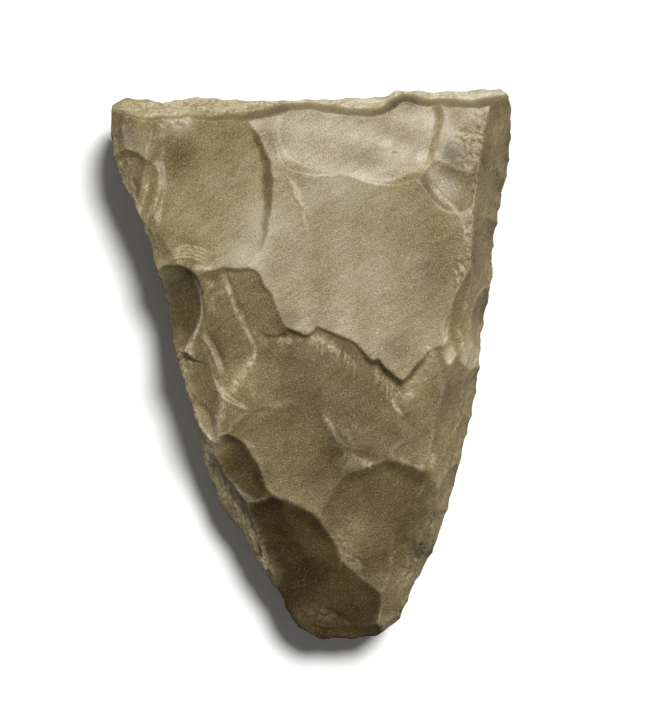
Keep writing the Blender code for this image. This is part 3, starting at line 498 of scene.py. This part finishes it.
def sides(loop):
    """The two ends of each side of a closed path."""
    return zip(loop, np.roll(loop, -1, axis=0))


def inward(loop):
    """The unit normal at each point of a clockwise loop, pointing into it."""
    along = np.roll(loop, -1, axis=0) - np.roll(loop, 1, axis=0)
    normal = np.stack([along[:, 1], -along[:, 0]], axis=1)
    return normal / np.linalg.norm(normal, axis=1, keepdims=True)


def stretches(loop, spacing, seed):
    """Cuts the loop into stretches of about this length: pairs of start and end indices."""
    rng = np.random.default_rng(seed)
    run = np.linalg.norm(np.roll(loop, -1, axis=0) - loop, axis=1).cumsum()
    cuts = [0.0]
    while cuts[-1] < run[-1] - SHORTEST_STRETCH * spacing:
        cuts.append(cuts[-1] + spacing * rng.uniform(*UNEVEN_SPACING))
    marks = np.searchsorted(run, np.array(cuts) * run[-1] / cuts[-1])
    return list(zip(marks[:-1], marks[1:]))


def scalloped(loop):
    """The loop with a shallow hollow in each stretch, as the last blows left it."""
    normal = inward(loop)
    depth = np.zeros(len(loop))
    for start, end in stretches(loop, SCALLOP_LENGTH, SEEDS["scallops"]):
        share = np.arange(end - start) / max(end - start, 1)
        depth[start:end] = SCALLOP_DEPTH * 4.0 * share * (1.0 - share)
    return loop + normal * depth[:, None]


def edge_level(y):
    """The height of the middle of the edge."""
    return CORE_HEIGHT + EDGE_TILT * y


def struck_in(loop, kind, height_of):
    """Scars of flakes struck inward from the edge, all round.

    height_of gives each point of the edge a height to strike at, and a lift: how far above the
    plain edge that is, which steepens the flake.
    """
    rng = np.random.default_rng(kind.seed)
    normal = inward(loop)
    scars = []
    for start, end in stretches(loop, kind.spacing, kind.seed):
        middle = (start + end) // 2 % len(loop)
        size = rng.uniform(*UNEVEN_SIZE)
        turn = np.radians(rng.uniform(*UNEVEN_TURN))
        nx, ny = normal[middle]
        cos, sin = np.cos(turn), np.sin(turn)
        way = np.array([nx * cos - ny * sin, nx * sin + ny * cos])
        reach = FLAKE_MIDDLE * kind.length * size
        x, y = loop[middle] + way * reach
        height, lift = height_of(*loop[middle])
        pitch = kind.pitch * rng.uniform(*UNEVEN_PITCH) + lift / LIFTED_REACH
        z = height + pitch * reach - rng.uniform(*UNEVEN_DEPTH)
        heading = np.degrees(np.arctan2(way[1], way[0]))
        scars.append(
            Scar("struck", x, y, z, heading, kind.length * size, kind.width * size,
                 pitch * way[0], pitch * way[1], kind.bow, kind.cup, kind.wall, FLAKE_FILLET)
        )
    return scars


def waves(x, y, seed, length):
    """A smooth random swell, about 1 high and this long."""
    rng = np.random.default_rng(seed)
    total = np.zeros_like(x)
    for _ in range(WAVES):
        angle, phase = rng.uniform(0.0, 2.0 * np.pi, 2)
        rate = 2.0 * np.pi / (length * rng.uniform(*WAVE_LENGTHS))
        total += np.sin(rate * (x * np.cos(angle) + y * np.sin(angle)) + phase)
    return total / WAVES_CREST


def grit(x, y, cell, seed):
    """Smooth random values from -1 to 1 that change over the length of a cell."""
    size = (LATTICE_ROWS, LATTICE_COLUMNS)
    lattice = np.random.default_rng(seed).uniform(-1.0, 1.0, size)
    column, row = x / cell, y / cell
    i, j = np.floor(column).astype(int), np.floor(row).astype(int)
    s, t = column - i, row - j
    s, t = s * s * (3 - 2 * s), t * t * (3 - 2 * t)
    beside, above = (i + 1) % LATTICE_COLUMNS, (j + 1) % LATTICE_ROWS
    return between(lattice, i % LATTICE_COLUMNS, j % LATTICE_ROWS, beside, above, s, t)


def facets(x, y, seed):
    """Flat facets about 1 across, tilted at random: their height, from about -1 to 1."""
    size = (5, LATTICE_ROWS, LATTICE_COLUMNS)
    move_x, move_y, lift, tilt_x, tilt_y = np.random.default_rng(seed).uniform(-1.0, 1.0, size)
    column, row = np.floor(x).astype(int), np.floor(y).astype(int)
    nearest = np.full(x.shape, np.inf)
    height = np.zeros_like(x)
    for right, above in np.ndindex(3, 3):
        i, j = column + right - 1, row + above - 1
        cell = (j % LATTICE_ROWS, i % LATTICE_COLUMNS)
        dx = x - i - 0.5 - FACET_STRAY * move_x[cell]
        dy = y - j - 0.5 - FACET_STRAY * move_y[cell]
        gap = dx**2 + dy**2
        closer = gap < nearest
        nearest = np.where(closer, gap, nearest)
        tilted = FACET_LIFT * lift[cell] + tilt_x[cell] * dx + tilt_y[cell] * dy
        height = np.where(closer, tilted, height)
    return height


def outside(path, x, y):
    """How far each point lies outside a closed path, or inside it where this is less than 0."""
    nearest = np.full(x.shape, np.inf)
    inside = np.zeros(x.shape, bool)
    for (ax, ay), (bx, by) in sides(path):
        side_x, side_y = bx - ax, by - ay
        share = ((x - ax) * side_x + (y - ay) * side_y) / (side_x**2 + side_y**2)
        share = np.clip(share, 0.0, 1.0)
        gap = (x - ax - share * side_x) ** 2 + (y - ay - share * side_y) ** 2
        nearest = np.minimum(nearest, gap)
        if ay != by:
            inside ^= ((ay > y) != (by > y)) & (x < ax + (y - ay) * side_x / side_y)
    return np.where(inside, -1.0, 1.0) * np.sqrt(nearest)


def fine_from_coarse(coarse):
    """A whole grid from the values at every second point of it."""
    rows, columns = coarse.shape
    fine = np.empty((2 * rows - 1, 2 * columns - 1))
    fine[::2, ::2] = coarse
    fine[1::2, ::2] = (coarse[1:] + coarse[:-1]) / 2.0
    fine[:, 1::2] = (fine[:, :-1:2] + fine[:, 2::2]) / 2.0
    return fine


def beyond_rim(scar, x, y):
    """Where each point lies along and across the scar, and how far outside its rim it is."""
    across, up = x - scar.x, y - scar.y
    turn = np.radians(scar.heading)
    half_length, half_width = scar.length / 2.0, scar.width / 2.0
    u = (across * np.cos(turn) + up * np.sin(turn)) / half_length
    v = (up * np.cos(turn) - across * np.sin(turn)) / half_width
    if scar.name in RIMS:
        rim = RIMS[scar.name]
        coarse = outside(smooth_loop(rim.path, RIM_STEPS), x[::2, ::2], y[::2, ::2])
        return u, v, fine_from_coarse(coarse) + rim.setback
    return u, v, (np.hypot(u, v) - 1.0) * min(half_length, half_width)


def beside_line(path, x, y):
    """The distance from each point to an open curve, and how far along it the nearest point is."""
    ends = np.array(path)
    nearest = np.full(x.shape, np.inf)
    along = np.zeros(x.shape)
    runs = np.linalg.norm(np.diff(ends, axis=0), axis=1)
    total, start = runs.sum(), 0.0
    for (ax, ay), (bx, by), run in zip(ends[:-1], ends[1:], runs):
        share = np.clip(((x - ax) * (bx - ax) + (y - ay) * (by - ay)) / run**2, 0.0, 1.0)
        gap = np.hypot(x - ax - share * (bx - ax), y - ay - share * (by - ay))
        closer = gap < nearest
        nearest = np.where(closer, gap, nearest)
        along = np.where(closer, (start + share * run) / total, along)
        start += run
    return nearest, along


def splits(fan):
    """The fan's splits: thin ridges, each leaning and reaching a little differently."""
    rng = np.random.default_rng(fan.seed)
    path = smooth_path(fan.path, OUTLINE_STEPS)
    run = np.linalg.norm(np.diff(path, axis=0), axis=1).cumsum()
    ridges = []
    for mark in np.arange(0.0, run[-1], fan.spacing):
        at = min(np.searchsorted(run, mark), len(path) - 2)
        along = path[at + 1] - path[at]
        slant = np.radians(fan.slant + rng.uniform(*SPLIT_LEAN))
        heading = np.arctan2(along[1], along[0]) - np.pi / 2 + slant
        way = np.array([np.cos(heading), np.sin(heading)]) * fan.reach * rng.uniform(*SPLIT_REACH)
        start = path[at] + way * rng.uniform(*SPLIT_START)
        bend = np.array([-way[1], way[0]]) * rng.uniform(*SPLIT_BEND)
        points = (start, start + way / 2 + bend, start + way)
        height, wear = fan.height * rng.uniform(*SPLIT_HEIGHT), rng.uniform(*SPLIT_WEAR)
        ridges.append(Ridge(height, SPLIT_WIDTH, wear, points))
    return ridges


def scar_height(scar, x, y, roll, wander):
    """The height of the scar's surface, carried on past its rim, and how far outside that is."""
    u, v, out = beyond_rim(scar, x, y)
    floor = scar.z + scar.slope_x * (x - scar.x) + scar.slope_y * (y - scar.y)
    out = np.maximum(out + wander, 0.0)
    bowl = scar.bow * u**2 + scar.cup * v**2
    return floor + bowl + roll + scar.wall * out**2 / (out + scar.fillet), out


class Relief:
    """One face's height over its grid, with the stone's tone and wear at each point."""

    def __init__(self, scars):
        self.x, self.y = grid_points()
        rolls, wanders = (
            [size * waves(self.x, self.y, first + k, length) for k in range(SWELLS)]
            for first, size, length in ((0, ROLL, ROLL_LENGTH), (SWELLS, WANDER, WANDER_LENGTH))
        )
        self.height = np.full(self.x.shape, UNCUT)
        beneath = self.height.copy()
        self.tone = np.zeros(self.x.shape)
        for number, scar in enumerate(scars):
            roll, wander = rolls[number % SWELLS], wanders[number % SWELLS]
            level, out = scar_height(scar, self.x, self.y, roll, wander)
            cut = level < self.height
            beneath = np.where(cut, self.height, np.minimum(beneath, level))
            self.height = np.where(cut, level, self.height)
            # where the wall rises, its painted shade darkens the tone
            tone = scar.tone + scar.wall_tone * np.clip(2.0 * out, 0.0, 1.0)
            self.tone = np.where(cut, tone, self.tone)
        for _ in range(TONE_BLUR):
            for axis in (0, 1):
                both = np.roll(self.tone, 1, axis) + np.roll(self.tone, -1, axis)
                self.tone = (2.0 * self.tone + both) / 4.0
        # stains, and painted light and painted shade, shift the tone last
        for x, y, radius, shift in STAINS_AND_PAINTED_SHADING:
            gap = (self.x - x) ** 2 + (self.y - y) ** 2
            self.tone += shift * np.exp(-gap / radius**2)
        warp = WARP * grit(self.x, self.y, WARP_LENGTH, SEEDS["warp"])
        out_sideways = np.abs(self.x) - SIDE_SLANT * self.y
        cells = {
            "facets": ((self.x + warp) / FACET, (self.y - warp) / FACET),
            "splinters": ((out_sideways + warp) / FACET, self.y / SPLINTER_LENGTH),
            "layers": (self.x / LAYER_LENGTH, (self.y + 0.5 * warp) / LAYER_THICKNESS),
        }
        self.broken = {kind: facets(*cell, SEEDS[kind]) for kind, cell in cells.items()}
        patchy = np.clip(0.3 + 1.2 * grit(self.x, self.y, PATCH, SEEDS["patches"]), 0.0, 1.0)
        depth = beneath - self.height
        rise = np.maximum(np.hypot(*np.gradient(depth, RELIEF_STEP)), LEAST_RISE)
        self.wear = ARRIS_WEAR * patchy * np.exp(-((depth / rise / ARRIS) ** 2))

    def along_path(self, shape, reach, fade):
        """The part of the grid round the shape's path, and the shape's strength at its points.

        The strength is 1 on the path and falls off to either side. The part goes out to reach
        times the shape's width, and the strength takes 1 / fade of the path to come in at its ends.
        """
        path = np.array(shape.path)
        margin = reach * shape.width
        low = np.maximum((path.min(axis=0) - margin + RELIEF_SPAN) / RELIEF_STEP, 0).astype(int)
        high = ((path.max(axis=0) + margin + RELIEF_SPAN) / RELIEF_STEP).astype(int) + 1
        part = (slice(low[1], high[1]), slice(low[0], high[0]))
        gap, along = beside_line(smooth_path(path, LINE_STEPS), self.x[part], self.y[part])
        ends = np.clip(fade * along, 0.0, 1.0) * np.clip(fade * (1.0 - along), 0.0, 1.0)
        return part, ends * np.exp(-((gap / shape.width) ** 2))

    def raise_ridge(self, ridge):
        """Adds a ridge, or a groove."""
        part, crest = self.along_path(ridge, reach=3.0, fade=4.0)
        self.height[part] += ridge.height * crest
        self.wear[part] = np.maximum(self.wear[part], ridge.wear * crest)

    def crush(self, stretch):
        """Breaks the surface up into facets along a path."""
        part, share = self.along_path(stretch, reach=2.5, fade=8.0)
        broken = self.broken[stretch.kind][part]
        self.height[part] += stretch.height * share * broken
        grit_and_highlight_share = np.clip(0.6 + 0.5 * broken, 0.2, 1.0)
        self.wear[part] = np.maximum(self.wear[part], stretch.wear * share * grit_and_highlight_share)


class Stone:
    """The carved form: what its two faces and its outline leave."""

    def __init__(self):
        loop = smooth_loop(OUTLINE, OUTLINE_STEPS)
        self.outline = scalloped(loop)
        trim = struck_in(loop, FACE_TRIM, lambda x, y: (edge_level(y) + BLUNT_EDGE / 2, 0.0))
        chance = np.random.default_rng(FACE_TRIM.seed).random(len(trim))
        kept = [
            scar for scar, odds in zip(trim, chance)
            if scar.x > 0.0 and scar.y < TRIM_BELOW and odds < TRIM_SHARE
        ]
        self.face = Relief(list(FACE) + kept)
        # The back starts out flat, 1 mm under the table, and is cut off level with the table.
        back = [Scar("rest", 0, 0, CORE_HEIGHT + 1, 0, 100, 100, 0, 0, 0, 0, 0, 1)]
        for kind in BACK_FLAKES:
            back += struck_in(loop, kind, self.under_edge)
        self.back = Relief(back)
        for ridge in list(RIDGES) + [split for fan in FANS for split in splits(fan)]:
            self.face.raise_ridge(ridge)
        for stretch in CRUSHED:
            self.face.crush(stretch)

    def under_edge(self, x, y):
        """Where the back's flakes are struck: how far below the core plate, and how far lifted."""
        spare = read_grid(self.face.height, x, y) - edge_level(y) - BLUNT_EDGE
        away = np.hypot(x - THICK_CORNER[0], y - THICK_CORNER[1])
        lift = np.clip(spare, 0.0, EDGE_LIFT) * min(away / THICK_REACH, 1.0) ** 2
        return CORE_HEIGHT - edge_level(y) + BLUNT_EDGE / 2 - lift, lift

    def top(self, x, y):
        return np.minimum(read_grid(self.face.height, x, y), THICKNESS)

    def bottom(self, x, y):
        return np.maximum(CORE_HEIGHT - read_grid(self.back.height, x, y), 0.0)

    def rays(self, points):
        """Where each point's ray leaves the core plate, and its direction."""
        flat = points[:, :2]
        nearest = flat.copy()
        inside = np.ones(len(flat), bool)
        best = np.full(len(flat), np.inf)
        for a, b in sides(np.array(CORE)):
            side = b - a
            inside &= side[0] * (flat[:, 1] - a[1]) - side[1] * (flat[:, 0] - a[0]) <= 0.0
            share = np.clip((flat - a) @ side / (side @ side), 0.0, 1.0)
            on_side = a + share[:, None] * side
            distance = np.linalg.norm(flat - on_side, axis=1)
            closer = distance < best
            nearest[closer] = on_side[closer]
            best[closer] = distance[closer]
        nearest[inside] = flat[inside]
        start = np.column_stack([nearest, edge_level(nearest[:, 1])])
        way = points - start
        return start, way / np.linalg.norm(way, axis=1, keepdims=True), inside

    def reach(self, start, way):
        """How far each ray runs before it crosses the outline."""
        far = np.full(len(start), FARTHEST)
        for a, b in sides(self.outline):
            side = b - a
            cross = way[:, 0] * side[1] - way[:, 1] * side[0]
            cross = np.where(np.abs(cross) < ALMOST_ZERO, ALMOST_ZERO, cross)
            gap = a - start[:, :2]
            run = (gap[:, 0] * side[1] - gap[:, 1] * side[0]) / cross
            share = (gap[:, 0] * way[:, 1] - gap[:, 1] * way[:, 0]) / cross
            hit = (run > 0.0) & (share >= 0.0) & (share <= 1.0) & (run < far)
            far[hit] = run[hit]
        return far

    def holds(self, points):
        x, y, z = points.T
        return (z <= self.top(x, y)) & (z >= self.bottom(x, y))

    def carve(self, points):
        """Moves each point along its ray to where the finished surface stops it."""
        start, way, over_core = self.rays(points)
        carved = points.copy()
        up, down = over_core & (way[:, 2] > 0.0), over_core & (way[:, 2] <= 0.0)
        carved[up, 2] = self.top(points[up, 0], points[up, 1])
        carved[down, 2] = self.bottom(points[down, 0], points[down, 1])
        rim = ~over_core
        start, way = start[rim], way[rim]
        x, y, z = points[rim].T
        broken = facets((x - y) / SIDE_FACET, z / SIDE_FACET, SEEDS["sides"])
        far = self.reach(start, way) - SIDE_DEPTH * broken
        near, stopped = np.zeros(len(far)), np.zeros(len(far), bool)
        beyond = far.copy()
        for step in range(1, MARCH_STEPS + 1):
            run = far * step / MARCH_STEPS
            kept = self.holds(start + way * run[:, None])
            first = ~kept & ~stopped
            beyond[first] = run[first]
            stopped |= first
            near = np.where(stopped, near, run)
        for _ in range(HALVINGS):
            run = (near + beyond) / 2.0
            kept = self.holds(start + way * run[:, None])
            near = np.where(kept, run, near)
            beyond = np.where(kept, beyond, run)
        carved[rim] = start + way * near[:, None]
        return carved


def points_of(mesh):
    flat = np.empty(len(mesh.vertices) * 3, np.float32)
    mesh.vertices.foreach_get("co", flat)
    return flat.reshape(-1, 3).astype(float) / METRE


def move_points(mesh, points):
    mesh.vertices.foreach_set("co", (points * METRE).astype(np.float32).ravel())
    mesh.update()


def blank_mesh(loop):
    """A slab with the stone's outline and full thickness."""
    shape = bmesh.new()
    ring = [shape.verts.new((x * METRE, y * METRE, 0.0)) for x, y in loop[::-1]]
    shape.faces.new(ring)
    top = bmesh.ops.extrude_face_region(shape, geom=list(shape.faces))["geom"]
    raised = [item for item in top if isinstance(item, bmesh.types.BMVert)]
    bmesh.ops.translate(shape, verts=raised, vec=(0.0, 0.0, THICKNESS * METRE))
    bmesh.ops.recalc_face_normals(shape, faces=shape.faces)
    mesh = bpy.data.meshes.new("knapped_stone")
    shape.to_mesh(mesh)
    shape.free()
    return mesh


def settle(item):
    """Puts the object's modifiers into its mesh."""
    graph = bpy.context.evaluated_depsgraph_get()
    mesh = bpy.data.meshes.new_from_object(item.evaluated_get(graph))
    item.modifiers.clear()
    item.data = mesh


def regrid(item, size):
    grid = item.modifiers.new("grid", "REMESH")
    grid.mode = "VOXEL"
    grid.voxel_size = size * METRE
    settle(item)


def thin_out(item, triangles):
    """Keeps this many triangles, mostly where the surface bends."""
    present = sum(len(face.vertices) - 2 for face in item.data.polygons)
    if present <= triangles:
        return
    fewer = item.modifiers.new("fewer", "DECIMATE")
    fewer.ratio = triangles / present
    fewer.use_collapse_triangulate = True
    settle(item)


def mark_surface(mesh, stone):
    """Stores the stone's tone, with its painted shade, and its wear, with its painted highlights,
    at each vertex for its material.
    """
    points = points_of(mesh)
    x, y, z = points.T
    on_face = z > edge_level(y)
    facing = np.empty(len(points) * 3, np.float32)
    mesh.vertex_normals.foreach_get("vector", facing)
    share = np.clip(2.0 * np.abs(facing[2::3]), 0.0, 1.0)
    for name, on_sides in SIDE_FINISH.items():
        values = np.where(
            on_face,
            read_grid(getattr(stone.face, name), x, y),
            read_grid(getattr(stone.back, name), x, y),
        )
        values = values * share + on_sides * (1.0 - share)
        layer = mesh.attributes.new(name, "FLOAT", "POINT")
        layer.data.foreach_set("value", values.astype(np.float32))


def stand_on_origin(mesh):
    """Levels the flat that it rests on, and puts the origin there, under the outline's middle."""
    points = points_of(mesh)
    points[:, 2] -= points[:, 2].min()
    points[points[:, 2] < LEVELLED, 2] = 0.0
    middle = (points.min(axis=0) + points.max(axis=0)) / 2.0
    points[:, :2] -= middle[:2]
    move_points(mesh, points)


def linear(code):
    """An sRGB hex colour as linear light."""
    parts = [int(code[k:k + 2], 16) / 255.0 for k in (0, 2, 4)]
    return tuple(p / 12.92 if p <= 0.04045 else ((p + 0.055) / 1.055) ** 2.4 for p in parts)


def add(tree, kind, inputs=None, **settings):
    """Adds a node. inputs maps its sockets to a value, or to the output that feeds them."""
    node = tree.nodes.new(kind)
    for name, value in settings.items():
        setattr(node, name, value)
    for name, value in (inputs or {}).items():
        if isinstance(value, bpy.types.NodeSocket):
            tree.links.new(value, node.inputs[name])
        else:
            node.inputs[name].default_value = value
    return node


# Sockets of a colour mix.
MIX_FACTOR, MIX_A, MIX_B, MIX_RESULT = 0, 6, 7, 2

CHERT_IOR = 1.54
WAX_DARK, WAX_PALE = 0.25, 0.8  # the paler scars took more polish from handling
NOISE_LOW, NOISE_HIGH = 0.3, 0.7  # nearly all of a noise's values lie between these

# The sizes of its patterns, and how deep the grain and the streaks are in the surface.
MOTTLE = 16.0
STREAK = 1.1
STREAK_DRAW = 0.25  # their pattern runs at this share of its pace along the bedding
BEDDING = np.radians(32.0)  # the heading of the streaks
GRAIN = 0.28  # coarser than most chert's, so that it shows
SPECK_AND_GLINT, SPECK_AND_GLINT_SHARE = 0.3, 0.55
CRUST = 0.7
SHEEN = 5.0
GRAIN_DEPTH, STREAK_DEPTH = 0.05, 0.06


def knapped_chert(look):
    """Chert split by blows: waxy and dull, mottled brown and grey, with a pale crushed crust."""
    material = bpy.data.materials.new("knapped_chert")
    material.use_nodes = True
    tree = material.node_tree
    shader = tree.nodes["Principled BSDF"]
    place = add(tree, "ShaderNodeTexCoord").outputs["Object"]
    tone = add(tree, "ShaderNodeAttribute", attribute_name="tone").outputs["Fac"]
    wear = add(tree, "ShaderNodeAttribute", attribute_name="wear").outputs["Fac"]

    def noise(size, detail, rough=0.5, where=place):
        kind = {"Scale": 1.0 / (size * METRE), "Detail": detail, "Roughness": rough}
        return add(tree, "ShaderNodeTexNoise", {"Vector": where, **kind}).outputs["Fac"]

    def spread(value, low, high, to_low, to_high):
        ends = {"From Min": low, "From Max": high, "To Min": to_low, "To Max": to_high}
        return add(tree, "ShaderNodeMapRange", {"Value": value, **ends}).outputs["Result"]

    def combine(operation, a, b):
        return add(tree, "ShaderNodeMath", {0: a, 1: b}, operation=operation).outputs[0]

    def blend(factor, a, b, how="MIX"):
        inputs = {MIX_FACTOR: factor, MIX_A: a, MIX_B: b}
        mix = add(tree, "ShaderNodeMix", inputs, data_type="RGBA", blend_type=how)
        return mix.outputs[MIX_RESULT]

    # Mottling as broad as a thumb, over the tone of each scar, and faint streaks along the bedding.
    turned = add(tree, "ShaderNodeMapping", {"Vector": place, "Rotation": (0.0, 0.0, -BEDDING)})
    stretch = {"Vector": turned.outputs[0], "Scale": (STREAK_DRAW, 1.0, 1.0)}
    drawn = add(tree, "ShaderNodeMapping", stretch).outputs[0]
    streaks = noise(STREAK, 3.0, 0.6, drawn)
    mottling = spread(noise(MOTTLE, 4.0, 0.6), NOISE_LOW, NOISE_HIGH, -0.1, 0.1)
    faint = spread(streaks, NOISE_LOW, NOISE_HIGH, -0.1, 0.1)
    streaked = combine("MULTIPLY", faint, spread(tone, -1.0, 0.2, 0.1, 1.0))
    cloud = combine("ADD", mottling, streaked)
    shade = combine("ADD", spread(tone, -1.0, 1.0, 0.0, 1.0), cloud)
    brown = blend(spread(shade, 0.0, 0.5, 0.0, 1.0), (*look.dark, 1.0), (*look.body, 1.0))
    stone = blend(spread(shade, 0.5, 1.0, 0.0, 1.0), brown, (*look.pale, 1.0))

    # Quartz grains catch the light as fine bright points; pores between them are dark.
    grain = noise(GRAIN, 2.0, 0.7)
    seen = spread(shade, 0.4, 0.95, 1.0, 0.4)
    stone = blend(seen, stone, spread(grain, 0.30, 0.75, 0.42, 2.0), "MULTIPLY")

    # Single coarse grains show as pale specks, and the same specks are painted glints of light.
    speck_and_glint = combine(
        "MULTIPLY", spread(noise(SPECK_AND_GLINT, 1.0), 0.64, 0.74, 0.0, SPECK_AND_GLINT_SHARE),
        spread(shade, 0.05, 0.4, 0.25, 1.0),
    )
    stone = blend(speck_and_glint, stone, (*look.crust, 1.0))

    # Where it was crushed the stone is a pale grit. Along the wide edge the same pale is a painted
    # highlight, the silvery glints of its thin layers.
    grit_and_highlight_share = combine("MULTIPLY", wear, spread(noise(CRUST, 3.0, 0.7), 0.35, 0.6, 0.1, 1.0))
    stone = blend(grit_and_highlight_share, stone, (*look.crust, 1.0))
    tree.links.new(stone, shader.inputs["Base Color"])

    sheen = spread(noise(SHEEN, 3.0), NOISE_LOW, NOISE_HIGH, 0.40, 0.54)
    rough = combine("ADD", sheen, spread(wear, 0.0, 1.0, 0.0, 0.2))
    tree.links.new(rough, shader.inputs["Roughness"])
    shader.inputs["IOR"].default_value = CHERT_IOR
    tree.links.new(spread(shade, 0.1, 0.7, WAX_DARK, WAX_PALE), shader.inputs["Specular IOR Level"])

    relief = {"Height": grain, "Distance": GRAIN_DEPTH * METRE, "Strength": 1.0}
    fine = add(tree, "ShaderNodeBump", relief).outputs[0]
    relief = {"Height": streaks, "Distance": STREAK_DEPTH * METRE, "Strength": 1.0, "Normal": fine}
    coarse = add(tree, "ShaderNodeBump", relief).outputs[0]
    tree.links.new(coarse, shader.inputs["Normal"])
    return material


def backdrop_paper(colour):
    """Matt card: an even pale ground with no gloss."""
    material = bpy.data.materials.new("backdrop_card")
    material.use_nodes = True
    shader = material.node_tree.nodes["Principled BSDF"]
    shader.inputs["Base Color"].default_value = (*colour, 1.0)
    shader.inputs["Roughness"].default_value = 0.95
    shader.inputs["Specular IOR Level"].default_value = 0.1
    return material


class StoneSettings(PropertyGroup):
    rough_grid: FloatProperty(
        name="Rough grid", description="Spacing of the blank's first carving",
        default=1.6 * METRE, subtype="DISTANCE", unit="LENGTH",
    )
    fine_grid: FloatProperty(
        name="Fine grid", description="Spacing of the last carving",
        default=0.3 * METRE, subtype="DISTANCE", unit="LENGTH",
    )
    triangles: IntProperty(
        name="Triangles", description="How many triangles the finished stone keeps", default=188000,
    )
    dark: FloatVectorProperty(
        name="Dark brown", description="The stone's darkest brown",
        default=linear("2c2008"), subtype="COLOR",
    )
    body: FloatVectorProperty(
        name="Body", description="The stone's main brown",
        default=linear("7a6c48"), subtype="COLOR",
    )
    pale: FloatVectorProperty(
        name="Pale", description="The grey of the paler scars",
        default=linear("9c9478"), subtype="COLOR",
    )
    # The crust colour also paints the highlights along the wide edge and the glints of the specks.
    crust: FloatVectorProperty(
        name="Crust", description="Grit along crushed edges",
        default=linear("c4b896"), subtype="COLOR",
    )


class StageSettings(PropertyGroup):
    ground: FloatVectorProperty(
        name="Ground", description="Colour of the backdrop card",
        default=linear("f0f0ee"), subtype="COLOR",
    )
    key: FloatProperty(name="Key light", description="Strength of the key light", default=4.3)
    fill: FloatProperty(name="Fill light", description="Strength of the room's light", default=0.13)


class CELT_OT_knap(Operator):
    """Knap the stone out of its blank"""

    bl_idname = "celt.knap"
    bl_label = "Knap the stone"

    def execute(self, context):
        look = context.scene.celt_stone
        stone = Stone()
        celt = bpy.data.objects.new("knapped_stone", blank_mesh(stone.outline))
        context.scene.collection.objects.link(celt)
        for size in (look.rough_grid, look.fine_grid):
            regrid(celt, size / METRE)
            move_points(celt.data, stone.carve(points_of(celt.data)))
        thin_out(celt, look.triangles)
        mark_surface(celt.data, stone)
        stand_on_origin(celt.data)
        celt.data.materials.clear()
        celt.data.materials.append(knapped_chert(look))
        celt.data.shade_smooth()
        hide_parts("celt")
        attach(celt, "root")
        return {"FINISHED"}


# The light comes from beyond the wide edge and the right, as a broad soft box would send it.
KEY_FROM_VERTICAL = 30.0
KEY_BEARING = 34.0  # clockwise from +Y
KEY_WIDTH = 18.0
GROUND_SPAN = 8.0  # metres

LENS = 135.0
SENSOR = 36.0
FRAME_HEIGHT = 148.1  # how much the frame's height takes in, at the level of the stone's edge
EDGE_ABOVE_TABLE = 13.0
AIM = (4.35, 2.9)


class CELT_OT_stage(Operator):
    """Set the table, the light and the camera"""

    bl_idname = "celt.stage"
    bl_label = "Set the stage"

    def execute(self, context):
        scene = context.scene
        look = scene.celt_stage
        half = GROUND_SPAN / 2.0
        mesh = bpy.data.meshes.new("table")
        corners = [(-half, -half, 0.0), (half, -half, 0.0), (half, half, 0.0), (-half, half, 0.0)]
        mesh.from_pydata(corners, [], [(0, 1, 2, 3)])
        table = bpy.data.objects.new("table", mesh)
        mesh.materials.append(backdrop_paper(look.ground))
        scene.collection.objects.link(table)
        table.visible_glossy = False

        lamp = bpy.data.lights.new("key", "SUN")
        lamp.energy = look.key
        lamp.angle = np.radians(KEY_WIDTH)
        key = bpy.data.objects.new("key", lamp)
        key.rotation_euler = (np.radians(-KEY_FROM_VERTICAL), 0.0, np.radians(-KEY_BEARING))
        scene.collection.objects.link(key)

        world = bpy.data.worlds.new("room")
        world.use_nodes = True
        tree = world.node_tree
        tree.nodes.clear()
        sight = add(tree, "ShaderNodeLightPath").outputs["Is Camera Ray"]
        room, seen = (
            add(tree, "ShaderNodeBackground", {"Color": (1.0, 1.0, 1.0, 1.0), "Strength": strength})
            for strength in (look.fill, 1.0)
        )
        mix = add(tree, "ShaderNodeMixShader", {0: sight, 1: room.outputs[0], 2: seen.outputs[0]})
        add(tree, "ShaderNodeOutputWorld", {"Surface": mix.outputs[0]})
        scene.world = world
        scene.view_settings.view_transform = "Standard"

        optics = bpy.data.cameras.new("camera")
        optics.lens = LENS
        optics.sensor_width = SENSOR
        camera = bpy.data.objects.new("camera", optics)
        height = EDGE_ABOVE_TABLE + FRAME_HEIGHT * LENS / SENSOR
        camera.location = [length * METRE for length in (*AIM, height)]
        scene.collection.objects.link(camera)
        scene.camera = camera
        return {"FINISHED"}


class CELT_PT_sidebar(Panel):
    bl_label = "Stone celt"
    bl_idname = "CELT_PT_sidebar"
    bl_space_type = "VIEW_3D"
    bl_region_type = "UI"
    bl_category = "Celt"

    def draw(self, context):
        layout = self.layout
        for owner, action in (("celt_stone", "celt.knap"), ("celt_stage", "celt.stage")):
            settings = getattr(context.scene, owner)
            box = layout.box()
            for name in settings.__annotations__:
                box.prop(settings, name)
            box.operator(action)


CLASSES = (StoneSettings, StageSettings, CELT_OT_knap, CELT_OT_stage, CELT_PT_sidebar)


def register():
    for item in CLASSES:
        bpy.utils.register_class(item)
    bpy.types.Scene.celt_stone = PointerProperty(type=StoneSettings)
    bpy.types.Scene.celt_stage = PointerProperty(type=StageSettings)


def unregister():
    del bpy.types.Scene.celt_stage
    del bpy.types.Scene.celt_stone
    for item in reversed(CLASSES):
        bpy.utils.unregister_class(item)


def main():
    register()
    bpy.ops.celt.knap()
    bpy.ops.celt.stage()


if __name__ == "__main__":
    main()
